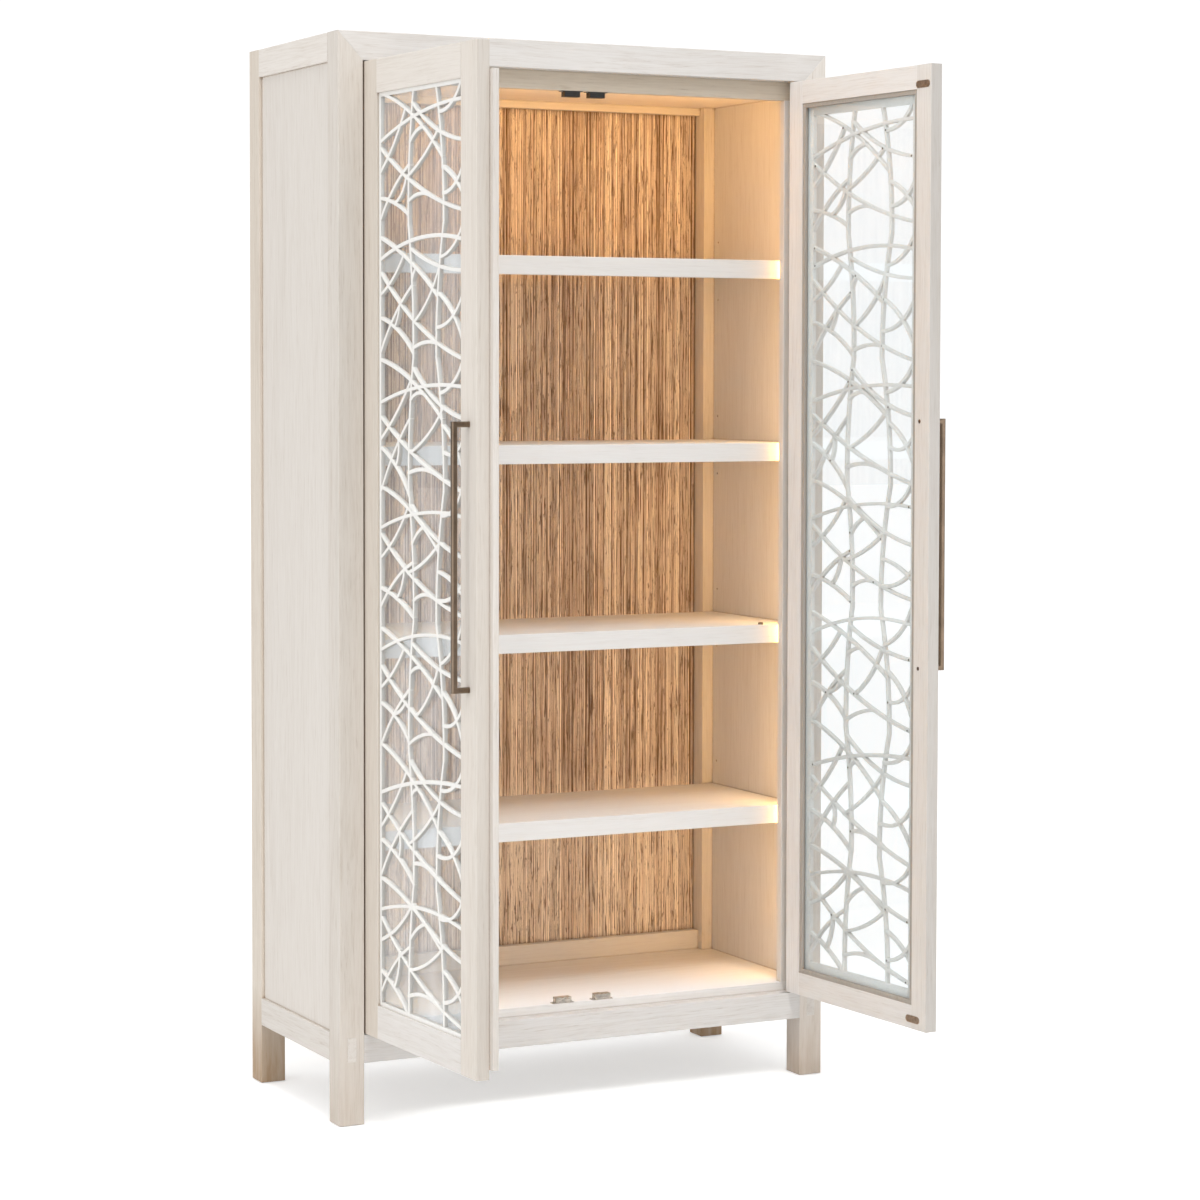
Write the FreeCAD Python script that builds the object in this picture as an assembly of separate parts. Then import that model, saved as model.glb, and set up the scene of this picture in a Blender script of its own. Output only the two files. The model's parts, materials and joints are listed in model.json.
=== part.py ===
import FreeCAD, Part

import math
import os

# A tall two-door display cabinet in white-washed oak. The carcass is four posts joined by rails, with
# a panel in each side, a reed mat on the back, four shelves and a light strip behind each door stop.
# Each door is a glazed frame with a fretted lattice of curved branches in front of the glass, and it
# turns on a pin at its top and bottom. All sizes are in millimetres. The carcass stands upright along
# Z, its doors face -Y, and the doors are shown open.

# Carcass
carcass_width = 1090.0
carcass_depth = 486.0
carcass_height = 2134.0
post_width = 52.0
post_depth = 55.0
leg_clear = 122.0
rail_height = 56.0
front_rail_bottom_depth = 42.0
side_rail_depth = 40.0
edge_ease = 1.2
tenon_height_share = 0.86
tenon_length = 14.0
through_tenon_width = 18.0
through_tenon_proud = 0.6

# Side panels, back, top and floor
panel_thickness = 19.0
panel_recess = 7.0
tongue_thickness = 9.0
tongue_length = 8.0
rear_rail_setback = 18.0
rear_rail_depth = 24.0
rear_rail_bottom_rise = 41.0
ceiling_drop = 22.0
board_thickness = 18.0
top_panel_inset = 0.5
reed_thickness = 4.0
reed_lap = 12.0
back_board_thickness = 6.0
back_board_lap = 14.0
back_board_margin = 8.0

# Door stops and their lights
stop_gap = 2.0
stop_thickness = 18.0
stop_stile_width = 30.0
lintel_drop = 38.0
lintel_lap = 18.0
light_width = 10.0
light_depth = 6.0
light_wall = 1.0
light_margin = 40.0
diffuser_thickness = 2.0

# Shelves and their pins
shelf_count = 4
first_shelf_share = 0.17887
shelf_pitch_share = 0.20484
nosing_height = 38.0
nosing_depth = 20.0
shelf_core_thickness = 19.0
shelf_front_gap = 0.5
shelf_rear_gap = 3.0
shelf_end_gap = 2.0
pin_radius = 2.5
pin_rise = 26.0
pin_hole_pitch = 63.0
pin_seat = 10.0
pin_hole_spare = 1.0
pin_reach = 16.0
pin_clearance = 0.2
front_pin_setback = 138.0
rear_pin_setback = 73.0
slot_width = 8.0
slot_length = 20.0

# Touch switch, on one shelf near its right front corner
switch_shelf = 1
switch_radius = 5.5
switch_height = 5.0
switch_inset = 86.0
switch_setback = 11.0

# Magnetic catches and the plates that they hold
catch_width = 34.0
catch_height = 12.0
catch_depth = 16.0
catch_flange_width = 46.0
catch_flange_thickness = 1.2
catch_strike_gap = 0.3
pole_width = 26.0
pole_height = 2.2
pole_depth = 5.0
magnet_height = 4.0
top_catch_x = 28.0
bottom_catch_x = 44.5
catch_screw_radius = 1.3
catch_screw_head_radius = 2.4
catch_screw_head_height = 0.9
catch_screw_length = 9.0
catch_screw_share = 0.86
strike_length = 44.0
strike_height = 14.0
strike_thickness = 1.2
top_strike_drop = 38.0
bottom_strike_rise = 19.5
strike_screw_radius = 1.4
strike_screw_head_radius = 2.6
strike_screw_length = 10.0
strike_screw_share = 0.62

# Feet and back screws
glide_radius = 10.0
glide_proud = 1.5
glide_seat = 3.0
screw_radius = 1.6
screw_length = 18.0
screw_head_radius = 3.5
screw_head_height = 1.6
side_screw_count = 8
end_screw_count = 4
screw_edge = 7.0

# Doors
door_thickness = 26.0
door_hinge_gap = 2.5
door_centre_gap = 3.0
door_end_gap = 2.0
door_member_width = 65.0
door_rabbet_width = 18.0
door_lip = 5.0
door_ease = 0.8
door_tenon_length = 20.0
door_tenon_thickness = 8.0
pocket_clearance = 0.5
lattice_depth = 9.0
strip_width = 25.5
glass_thickness = 4.0
bead_width = 9.0
bead_depth = 6.0
left_door_open = 87.5
right_door_open = 94.0

# Pivots
pivot_inset = 5.0
pivot_pin_radius = 2.5
pivot_clearance = 0.05
pivot_plate_width = 8.0
pivot_plate_length = 44.0
pivot_plate_thickness = 3.0
pivot_collar_radius = 3.6
pivot_collar_gap = 0.3
pivot_end_gap = 0.2

# Handles
handle_length = 496.0
handle_section = 10.5
handle_chamfer = 1.6
handle_reach = 30.0
handle_edge_setback = 32.5
handle_rise = 10.0
handle_screw_radius = 2.0
handle_screw_head_radius = 3.8
handle_screw_head_height = 2.6
handle_screw_recess = 3.2
handle_screw_recess_radius = 4.2
handle_screw_grip = 9.0
screw_clearance = 0.05

# Astragal, on the left door's inner face
astragal_width = 29.0
astragal_overhang = 12.0
astragal_thickness = 13.0
astragal_relief = 1.0
astragal_floor_gap = 2.0
astragal_lintel_gap = 16.0

# Lattice of branches. Two long stems wander up the window, a half wave to each bay, and the other
# branches of a bay start and end on a side of the window or on an earlier branch of that bay.
branch_width = 6.5
lattice_bays = 7
stem_shares = [(0.38, 0.03, -0.02), (0.74, -0.045, 0.025)]
branch_shares = [
    ("left", 0.97, 1, 0.50, 0.05),
    ("left", 0.60, "right", 0.04, -0.05),
    ("left", 0.28, 0, 0.02, 0.06),
    (0, 0.88, "right", 0.58, -0.06),
    ("left", 0.04, 0, 0.50, 0.05),
    (3, 0.40, 5, 0.60, -0.06),
    (0, 0.62, 2, 0.66, 0.09),
    (1, 0.76, "right", 0.99, -0.12),
    ("left", 0.70, "right", 0.84, 0.05),
    (1, 0.24, "right", 0.38, -0.13),
    (0, 0.12, 3, 0.70, 0.08),
    ("left", 0.44, 2, 0.42, -0.05),
    (1, 0.46, "right", 0.20, 0.07),
    (4, 0.45, 3, 0.28, -0.10),
]

# The ends of the branches sway up and down from bay to bay, so that no two bays are alike. A sway is
# a sine, and these give its angle: the step from branch to branch, the step from bay to bay and the
# first angle, in radians.
lattice_sway_share = 0.06
start_sway_shares = (1.9, 2.3, 0.0)
end_sway_shares = (1.1, 1.7, 2.0)
bow_sway_share = 4.0

# A cut runs this far past the face that it opens.
overrun = 1.0

# Planes and edges that the pieces share
right_x = carcass_width / 2
front_y = -carcass_depth / 2
back_y = carcass_depth / 2
post_inner_x = right_x - post_width
front_post_back_y = front_y + post_depth
rear_post_front_y = back_y - post_depth
bottom_rail_top_z = leg_clear + rail_height
top_rail_bottom_z = carcass_height - rail_height
floor_z = bottom_rail_top_z + board_thickness
ceiling_z = top_rail_bottom_z - ceiling_drop
lintel_z = top_rail_bottom_z - lintel_drop
panel_outer_x = right_x - panel_recess
panel_inner_x = panel_outer_x - panel_thickness
side_rail_inner_x = right_x - side_rail_depth
stop_front_y = front_y + door_thickness + stop_gap
stop_back_y = stop_front_y + stop_thickness
rear_rail_front_y = rear_post_front_y + rear_rail_setback
rear_rail_back_y = rear_rail_front_y + rear_rail_depth
back_board_back_y = rear_rail_back_y + back_board_thickness
door_hinge_x = -post_inner_x + door_hinge_gap
door_free_x = -door_centre_gap / 2
door_bottom_z = bottom_rail_top_z + door_end_gap
door_top_z = top_rail_bottom_z - door_end_gap
door_inner_y = front_y + door_thickness
door_middle_z = (door_bottom_z + door_top_z) / 2
pivot_x = door_hinge_x + pivot_inset
pivot_y = front_y + pivot_inset
handle_centre_z = door_middle_z + handle_rise

UP = FreeCAD.Vector(0, 0, 1)
ORIGIN = FreeCAD.Vector(0, 0, 0)


def box(x_range, y_range, z_range):
    """A block between two values of x, y and z."""
    low = FreeCAD.Vector(min(x_range), min(y_range), min(z_range))
    size_x = max(x_range) - low.x
    size_y = max(y_range) - low.y
    size_z = max(z_range) - low.z
    return Part.makeBox(size_x, size_y, size_z, low)


def rod(radius, start, reach):
    """A round bar from a point along a vector."""
    return Part.makeCylinder(radius, reach.Length, start, reach)


def prism(points, reach):
    """A flat outline pushed along a vector."""
    return Part.Face(Part.makePolygon(points + points[:1])).extrude(reach)


def mirrored(shape):
    """The same piece on the other side of the cabinet."""
    return shape.mirror(ORIGIN, FreeCAD.Vector(1, 0, 0))


def upended(shape):
    """The piece at a door's bottom turned into the one at its top."""
    return shape.mirror(FreeCAD.Vector(0, 0, door_middle_z), UP)


def eased(shape, direction, radius):
    """Round the outer long edges that run along one direction."""
    bounds = shape.BoundBox
    edges = []
    for edge in shape.Edges:
        run = edge.Vertexes[-1].Point - edge.Vertexes[0].Point
        if abs(run.dot(direction)) < run.Length * (1 - 1e-9):
            continue
        middle = edge.CenterOfMass
        on_bounds = 0
        for value, low, high, along in (
            (middle.x, bounds.XMin, bounds.XMax, direction.x),
            (middle.y, bounds.YMin, bounds.YMax, direction.y),
            (middle.z, bounds.ZMin, bounds.ZMax, direction.z),
        ):
            if not along and min(value - low, high - value) < radius / 100:
                on_bounds += 1
        if on_bounds == 2:
            edges.append(edge)
    return shape.makeFillet(radius, edges)


def cut_all(shape, tools):
    """Cut each of several pieces out of a shape."""
    for tool in tools:
        shape = shape.cut(tool)
    return shape


def joined(shapes):
    """One solid made of several that touch or overlap."""
    return shapes[0].multiFuse(shapes[1:]).removeSplitter()


def tenon_range(low, high):
    """The height of a tenon, centred on its rail."""
    middle = (low + high) / 2
    half = (high - low) * tenon_height_share / 2
    return (middle - half, middle + half)


def side_panel():
    """Right side panel, with a tongue round it."""
    y_range = (front_post_back_y, rear_post_front_y)
    z_range = (bottom_rail_top_z, top_rail_bottom_z)
    board = box((panel_inner_x, panel_outer_x), y_range, z_range)
    middle_x = (panel_inner_x + panel_outer_x) / 2
    tongue = box(
        (middle_x - tongue_thickness / 2, middle_x + tongue_thickness / 2),
        (y_range[0] - tongue_length, y_range[1] + tongue_length),
        (z_range[0] - tongue_length, z_range[1] + tongue_length),
    )
    return joined([board, tongue])


def pin_places():
    """The depth and height of each shelf pin's hole, and whether a pin is in it."""
    places = []
    for shelf in range(shelf_count):
        middle_z = shelf_bottom(shelf) + pin_rise
        for step in (-1, 0, 1):
            for y in (front_y + front_pin_setback, back_y - rear_pin_setback):
                places.append((y, middle_z + step * pin_hole_pitch, step == 0))
    return places


def shelf_bottom(shelf):
    """The underside of a shelf, counted from the lowest: a share of the height inside."""
    rise_share = first_shelf_share + shelf * shelf_pitch_share
    return floor_z + (ceiling_z - floor_z) * rise_share


def drilled_side_panel(panel):
    """The side panel with its rows of pin holes."""
    holes = []
    for y, z, _ in pin_places():
        start = FreeCAD.Vector(panel_inner_x - overrun, y, z)
        holes.append(rod(pin_radius, start, FreeCAD.Vector(overrun + pin_seat + pin_hole_spare, 0, 0)))
    return panel.cut(Part.makeCompound(holes))


def front_rail_top():
    """The head of the front frame, mitred into the posts."""
    points = [
        FreeCAD.Vector(-right_x, front_y, carcass_height),
        FreeCAD.Vector(right_x, front_y, carcass_height),
        FreeCAD.Vector(post_inner_x, front_y, top_rail_bottom_z),
        FreeCAD.Vector(-post_inner_x, front_y, top_rail_bottom_z),
    ]
    return prism(points, FreeCAD.Vector(0, stop_front_y - front_y, 0))


def cross_rail(y_range, z_range, tenon_y):
    """A rail from post to post along X, with a stub tenon at each end."""
    bar = box((-post_inner_x, post_inner_x), y_range, z_range)
    reach = post_inner_x + tenon_length
    tenon = box((-reach, reach), tenon_y, tenon_range(*z_range))
    return bar, tenon


def middle_third(low, high):
    """The middle third of a rail's thickness, where its tenon is."""
    third = (high - low) / 3
    return (low + third, high - third)


def side_rail(z_range):
    """The right side rail along Y and its two stub tenons."""
    x_range = (side_rail_inner_x, right_x)
    bar = box(x_range, (front_post_back_y, rear_post_front_y), z_range)
    y_range = (front_post_back_y - tenon_length, rear_post_front_y + tenon_length)
    tenon = box(middle_third(*x_range), y_range, tenon_range(*z_range))
    return bar, tenon


def through_tenon():
    """The tenon that shows on the front of the front post."""
    middle_x = right_x - post_width / 2
    x_range = (middle_x - through_tenon_width / 2, middle_x + through_tenon_width / 2)
    y_range = (front_y - through_tenon_proud, front_post_back_y)
    return box(x_range, y_range, tenon_range(leg_clear, bottom_rail_top_z))


def carcass_frame():
    """Posts, rails and side panels, each cut for the ones that enter it."""
    panel = side_panel()
    panels = [panel, mirrored(panel)]
    along_x = FreeCAD.Vector(1, 0, 0)
    along_y = FreeCAD.Vector(0, 1, 0)

    head = front_rail_top()
    front_bottom_y = (front_y, front_y + front_rail_bottom_depth)
    front_bottom_z = (leg_clear, bottom_rail_top_z)
    sill, sill_tenon = cross_rail(front_bottom_y, front_bottom_z, middle_third(*front_bottom_y))
    rear_y = (rear_rail_front_y, rear_rail_back_y)
    rear_top_z = (ceiling_z - lintel_lap + stop_gap, carcass_height)
    rear_bottom_z = (leg_clear, floor_z + rear_rail_bottom_rise)
    rear_top, rear_top_tenon = cross_rail(rear_y, rear_top_z, middle_third(*rear_y))
    rear_bottom, rear_bottom_tenon = cross_rail(rear_y, rear_bottom_z, middle_third(*rear_y))
    side_top, side_top_tenon = side_rail((top_rail_bottom_z, carcass_height))
    side_bottom, side_bottom_tenon = side_rail((leg_clear, bottom_rail_top_z))
    side_bottom_tenon = side_bottom_tenon.cut(
        box((0, right_x), (front_y, front_post_back_y), (0, carcass_height))
    )
    show_tenon = through_tenon()

    reeds = reed_panel()
    pieces = {
        "front_rail_top": eased(head, along_x, edge_ease),
        "front_rail_bottom": joined([eased(sill, along_x, edge_ease), sill_tenon]),
        "rear_rail_top": joined([rear_top, rear_top_tenon]).cut(reeds),
        "rear_rail_bottom": joined([rear_bottom, rear_bottom_tenon]).cut(reeds),
    }
    side_tops = joined([eased(side_top, along_y, edge_ease), side_top_tenon])
    side_bottoms = joined([eased(side_bottom, along_y, edge_ease), side_bottom_tenon, show_tenon])
    for name, blank in (("side_rail_top", side_tops), ("side_rail_bottom", side_bottoms)):
        rail = blank.cut(panel)
        pieces[name + "_right"] = rail
        pieces[name + "_left"] = mirrored(rail)
    pieces["side_panel_right"] = drilled_side_panel(panel)
    pieces["side_panel_left"] = mirrored(pieces["side_panel_right"])

    post_z = (glide_proud, carcass_height)
    front_post = box((post_inner_x, right_x), (front_y, front_post_back_y), post_z)
    front_tools = [head, sill_tenon, side_top_tenon, show_tenon, panel, glide()]
    pieces["front_post_right"] = cut_all(eased(front_post, UP, edge_ease), front_tools)
    rear_post = box((post_inner_x, right_x), (rear_post_front_y, back_y), post_z)
    rear_tools = [
        rear_top_tenon, rear_bottom_tenon, side_top_tenon, side_bottom_tenon, panel,
        back_rabbet(), mirrored_in_depth(glide()),
    ]
    pieces["rear_post_right"] = cut_all(eased(rear_post, UP, edge_ease), rear_tools)
    pieces["front_post_left"] = mirrored(pieces["front_post_right"])
    pieces["rear_post_left"] = mirrored(pieces["rear_post_right"])
    return pieces


def mirrored_in_depth(shape):
    """The same piece at the back instead of the front."""
    return shape.mirror(ORIGIN, FreeCAD.Vector(0, 1, 0))


def glide():
    """One round foot glide, let into the foot of the right front post."""
    centre = FreeCAD.Vector(right_x - post_width / 2, front_y + post_depth / 2, 0)
    return rod(glide_radius, centre, UP * (glide_proud + glide_seat))


def foot_glides():
    """Four glides, one in each foot."""
    front = glide()
    pair = [front, mirrored_in_depth(front)]
    return Part.makeCompound(pair + [mirrored(shape) for shape in pair])


def reed_panel():
    """The mat of reeds behind the rear rails."""
    z_low = floor_z + rear_rail_bottom_rise - reed_lap
    z_high = ceiling_z - lintel_lap + stop_gap + reed_lap
    y_range = (rear_rail_back_y - reed_thickness, rear_rail_back_y)
    return box((-post_inner_x, post_inner_x), y_range, (z_low, z_high))


def back_board_span():
    """How far the back board reaches across and up."""
    half = post_inner_x + back_board_lap
    return (-half, half), (leg_clear + back_board_margin, carcass_height - back_board_margin)


def back_rabbet():
    """The step in a rear post that the back board lies in."""
    x_range, z_range = back_board_span()
    return box(x_range, (rear_rail_back_y, back_y + overrun), z_range)


def back_screw_places():
    """Where the screws round the back board stand."""
    x_range, z_range = back_board_span()
    places = []
    side_x = x_range[1] - screw_edge
    side_low = z_range[0] + screw_edge
    side_step = (z_range[1] - z_range[0] - 2 * screw_edge) / (side_screw_count - 1)
    for step in range(side_screw_count):
        for x in (-side_x, side_x):
            places.append((x, side_low + step * side_step))
    end_step = 2 * side_x / (end_screw_count + 1)
    for step in range(1, end_screw_count + 1):
        for z in (side_low, z_range[1] - screw_edge):
            places.append((step * end_step - side_x, z))
    return places


def back_screws():
    """The screws that hold the back board."""
    screws = []
    for x, z in back_screw_places():
        face = FreeCAD.Vector(x, back_board_back_y, z)
        head = rod(screw_head_radius, face, FreeCAD.Vector(0, screw_head_height, 0))
        shank = rod(screw_radius, face, FreeCAD.Vector(0, -screw_length, 0))
        screws.append(joined([head, shank]))
    return Part.makeCompound(screws)


def boards():
    """Top, ceiling, floor, back and reed mat, before any screw or fitting."""
    posts = []
    for y_range in ((front_y, front_post_back_y), (rear_post_front_y, back_y)):
        post = box((post_inner_x, right_x), y_range, (0, carcass_height))
        posts += [post, mirrored(post)]
    x_range = (-panel_inner_x, panel_inner_x)
    ceiling = box(x_range, (stop_back_y, rear_rail_front_y), (ceiling_z, ceiling_z + board_thickness))
    floor = box(x_range, (stop_front_y, rear_rail_front_y), (bottom_rail_top_z, floor_z))
    top_z = carcass_height - top_panel_inset
    top = box(
        (-side_rail_inner_x, side_rail_inner_x),
        (stop_front_y, rear_rail_front_y),
        (top_z - board_thickness, top_z),
    )
    across, upward = back_board_span()
    back = box(across, (rear_rail_back_y, back_board_back_y), upward)
    return {
        "ceiling_board": cut_all(ceiling, posts),
        "bottom_board": cut_all(floor, posts),
        "top_panel": cut_all(top, posts),
        "back_board": back,
        "reed_panel": reed_panel(),
    }


def light_range():
    """The width, depth and height of the light strip in the right stop stile."""
    middle_x = post_inner_x - stop_stile_width / 2
    x_range = (middle_x - light_width / 2, middle_x + light_width / 2)
    y_range = (stop_back_y - light_depth, stop_back_y)
    return x_range, y_range, (floor_z + light_margin, lintel_z - light_margin)


def stops_and_lights():
    """The lintel, the stop stiles, the light channels and their diffusers."""
    lintel = box(
        (-post_inner_x, post_inner_x),
        (stop_front_y, stop_back_y),
        (lintel_z, top_rail_bottom_z + lintel_lap),
    )
    stile = box(
        (post_inner_x - stop_stile_width, post_inner_x), (stop_front_y, stop_back_y), (floor_z, lintel_z)
    )
    x_range, y_range, z_range = light_range()
    channel_block = box(x_range, y_range, z_range)
    hollow_x = (x_range[0] + light_wall, x_range[1] - light_wall)
    channel = channel_block.cut(box(hollow_x, (y_range[0] + light_wall, y_range[1] + overrun), z_range))
    diffuser = box(hollow_x, (stop_back_y - diffuser_thickness, stop_back_y), z_range)
    stile = eased(stile, UP, door_ease).cut(channel_block)
    return {
        "top_stop_rail": lintel,
        "stop_stile_right": stile,
        "stop_stile_left": mirrored(stile),
        "light_strip_right": channel,
        "light_strip_left": mirrored(channel),
        "light_diffusers": Part.makeCompound([diffuser, mirrored(diffuser)]),
    }


def shelf_blank():
    """One shelf with its underside at zero height: a board with a deeper front edge."""
    half = panel_inner_x - shelf_end_gap
    front = front_post_back_y + shelf_front_gap
    nosing = box((-half, half), (front, front + nosing_depth), (0, nosing_height))
    core_low = nosing_height - shelf_core_thickness
    rear = rear_post_front_y - shelf_rear_gap
    core = box((-half, half), (front + nosing_depth, rear), (core_low, nosing_height))
    slots = []
    roof = pin_rise + pin_radius + pin_clearance
    for y in (front_y + front_pin_setback, back_y - rear_pin_setback):
        slot = box(
            (half - slot_length, half + overrun),
            (y - slot_width / 2, y + slot_width / 2),
            (core_low - overrun, roof),
        )
        slots += [slot, mirrored(slot)]
    nosing = eased(nosing, FreeCAD.Vector(1, 0, 0), door_ease)
    return Part.makeCompound([nosing, cut_all(core, slots)])


def shelves():
    """The shelves, lowest first."""
    pieces = {}
    for shelf in range(shelf_count):
        piece = shelf_blank()
        piece.translate(UP * shelf_bottom(shelf))
        pieces["shelf_%d" % (shelf + 1)] = piece
    return pieces


def shelf_pins():
    """The pins under the ends of the shelves."""
    pins = []
    for y, z, filled in pin_places():
        if filled:
            start = FreeCAD.Vector(panel_inner_x - pin_reach, y, z)
            pin = rod(pin_radius, start, FreeCAD.Vector(pin_reach + pin_seat, 0, 0))
            pins += [pin, mirrored(pin)]
    return Part.makeCompound(pins)


def touch_switch():
    """A low dome on a shelf, which switches the lights."""
    base_z = shelf_bottom(switch_shelf) + nosing_height
    y = front_post_back_y + shelf_front_gap + switch_setback
    dome = rod(switch_radius, FreeCAD.Vector(panel_inner_x - switch_inset, y, base_z), UP * switch_height)
    rim = [edge for edge in dome.Edges if edge.Closed and edge.CenterOfMass.z > base_z + switch_height / 2]
    return dome.makeFillet(switch_height / 2, rim)


def catch(x, base_z, rise):
    """One magnetic catch on a level face, standing up or hanging down from it."""
    front = door_inner_y + strike_thickness + catch_strike_gap
    tip_z = base_z + rise * catch_height
    housing = box((x - catch_width / 2, x + catch_width / 2), (front, front + catch_depth), (base_z, tip_z))
    flange = box(
        (x - catch_flange_width / 2, x + catch_flange_width / 2),
        (front, front + catch_depth),
        (base_z, base_z + rise * catch_flange_thickness),
    )
    middle_z = (base_z + tip_z) / 2
    stack = magnet_height / 2 + pole_height
    pole_x = (x - pole_width / 2, x + pole_width / 2)
    pocket = box(pole_x, (front, front + pole_depth), (middle_z - stack, middle_z + stack))
    inside = (front, front + pole_depth)
    magnet = box(pole_x, inside, (middle_z - magnet_height / 2, middle_z + magnet_height / 2))
    lower = box(pole_x, inside, (middle_z - stack, middle_z - magnet_height / 2))
    upper = box(pole_x, inside, (middle_z + magnet_height / 2, middle_z + stack))
    screws = []
    for side in (-1, 1):
        screw_x = x + side * catch_flange_width / 2 * catch_screw_share
        seat = FreeCAD.Vector(screw_x, front + catch_depth / 2, base_z + rise * catch_flange_thickness)
        head = rod(catch_screw_head_radius, seat, UP * (rise * catch_screw_head_height))
        shank = rod(catch_screw_radius, seat, UP * (-rise * catch_screw_length))
        screws.append(joined([head, shank]))
    body = cut_all(joined([housing, flange]).cut(pocket), screws)
    return [body, lower, magnet, upper], screws


def catches():
    """Two pairs of catches: under the lintel and on the floor."""
    groups = {}
    screws = []
    for name, x, base_z, rise in (
        ("top_catches", top_catch_x, lintel_z, -1),
        ("bottom_catches", bottom_catch_x, floor_z, 1),
    ):
        solids, pair_screws = catch(x, base_z, rise)
        groups[name] = Part.makeCompound(solids + [mirrored(solid) for solid in solids])
        screws += pair_screws + [mirrored(screw) for screw in pair_screws]
    groups["catch_screws"] = Part.makeCompound(screws)
    return groups


def pivot_plate(z_range):
    """The outline of a pivot's plate, let into an edge over the hinge end of the left door."""
    start_x = pivot_x - pivot_plate_width / 2
    half = pivot_plate_width / 2
    return box((start_x, start_x + pivot_plate_length), (pivot_y - half, pivot_y + half), z_range)


def bottom_pivot():
    """The left door's bottom plate with its collar and pin, and the plate of the socket below."""
    plate = pivot_plate((door_bottom_z, door_bottom_z + pivot_plate_thickness))
    foot = FreeCAD.Vector(pivot_x, pivot_y, door_bottom_z)
    collar = rod(pivot_collar_radius, foot, UP * (pivot_collar_gap - door_end_gap))
    pin = rod(pivot_pin_radius, foot, UP * (pivot_end_gap - door_end_gap - pivot_plate_thickness))
    socket = pivot_plate((bottom_rail_top_z - pivot_plate_thickness, bottom_rail_top_z))
    hole = rod(pivot_pin_radius + pivot_clearance, foot, UP * (-door_end_gap - pivot_plate_thickness - overrun))
    return plate, joined([plate, collar, pin]), socket.cut(hole), socket


def pivot_sockets():
    """The four plates in the front rails that the doors' pins turn in."""
    socket = bottom_pivot()[2]
    pair = [socket, upended(socket)]
    return Part.makeCompound(pair + [mirrored(shape) for shape in pair])


def socket_recesses():
    """The four places cut in the front rails for the sockets."""
    blank = bottom_pivot()[3]
    pair = [blank, upended(blank)]
    return Part.makeCompound(pair + [mirrored(shape) for shape in pair])


def door_section(x_side):
    """The outline of a door stile across its length, on the door's hinge side or its free side."""
    edge_x = door_hinge_x if x_side > 0 else door_free_x
    body_x = edge_x + x_side * (door_member_width - door_rabbet_width)
    lip_x = edge_x + x_side * door_member_width
    lip_y = front_y + door_lip
    return [
        FreeCAD.Vector(edge_x, front_y, door_bottom_z),
        FreeCAD.Vector(lip_x, front_y, door_bottom_z),
        FreeCAD.Vector(lip_x, lip_y, door_bottom_z),
        FreeCAD.Vector(body_x, lip_y, door_bottom_z),
        FreeCAD.Vector(body_x, door_inner_y, door_bottom_z),
        FreeCAD.Vector(edge_x, door_inner_y, door_bottom_z),
    ]


def door_bottom_rail():
    """The bottom rail of a door, coped to the stiles' section, with its tenon."""
    lip_x = (door_hinge_x + door_member_width, door_free_x - door_member_width)
    body_width = door_member_width - door_rabbet_width
    body_x = (door_hinge_x + body_width, door_free_x - body_width)
    lip_y = front_y + door_lip
    lip = box(lip_x, (front_y, lip_y), (door_bottom_z, door_bottom_z + door_member_width))
    body = box(body_x, (lip_y, door_inner_y), (door_bottom_z, door_bottom_z + body_width))
    middle_y = (lip_y + door_inner_y) / 2
    tenon = box(
        (body_x[0] - door_tenon_length, body_x[1] + door_tenon_length),
        (middle_y - door_tenon_thickness / 2, middle_y + door_tenon_thickness / 2),
        tenon_range(door_bottom_z, door_bottom_z + body_width),
    )
    return joined([lip, body, tenon]), tenon


def door_window():
    """The pocket behind a door's lip, as x and z ranges."""
    inset = door_member_width - door_rabbet_width
    x_range = (door_hinge_x + inset, door_free_x - inset)
    return x_range, (door_bottom_z + inset, door_top_z - inset)


def shrunk(span, by):
    """A range made shorter at both ends."""
    return (span[0] + by, span[1] - by)


def flat_face(edges):
    """A face in the lattice's plane, turned to the front, bounded by given edges."""
    face = Part.Face(Part.Wire(Part.__sortEdges__(edges)))
    if face.normalAt(0, 0).y > 0:
        face.reverse()
    return face


def arc_point(branch, share):
    """The point at a share of the way along a branch."""
    edge = Part.Arc(*branch).toShape()
    starts_first = (edge.valueAt(edge.FirstParameter) - branch[0]).Length < edge.Length / 2
    along = share if starts_first else 1 - share
    return edge.valueAt(edge.FirstParameter + (edge.LastParameter - edge.FirstParameter) * along)


def bowed(start, end, bow_share):
    """A branch from one point to another that bows aside by a share of its length."""
    run = end - start
    aside = FreeCAD.Vector(-run.z, 0, run.x)
    return (start, (start + end) / 2 + aside * bow_share, end)


def branch_face(branch):
    """The flat strip that one branch covers."""
    circle = Part.Arc(*branch).toShape().Curve
    centre = circle.Center
    radius = circle.Radius
    rims = []
    for offset in (-branch_width / 2, branch_width / 2):
        rims.append([centre + (point - centre) * ((radius + offset) / radius) for point in branch])
    inner, outer = rims
    curves = [Part.Arc(*inner).toShape(), Part.Arc(*outer).toShape()]
    ends = [Part.makeLine(inner[0], outer[0]), Part.makeLine(inner[2], outer[2])]
    return flat_face(curves + ends)


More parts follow.
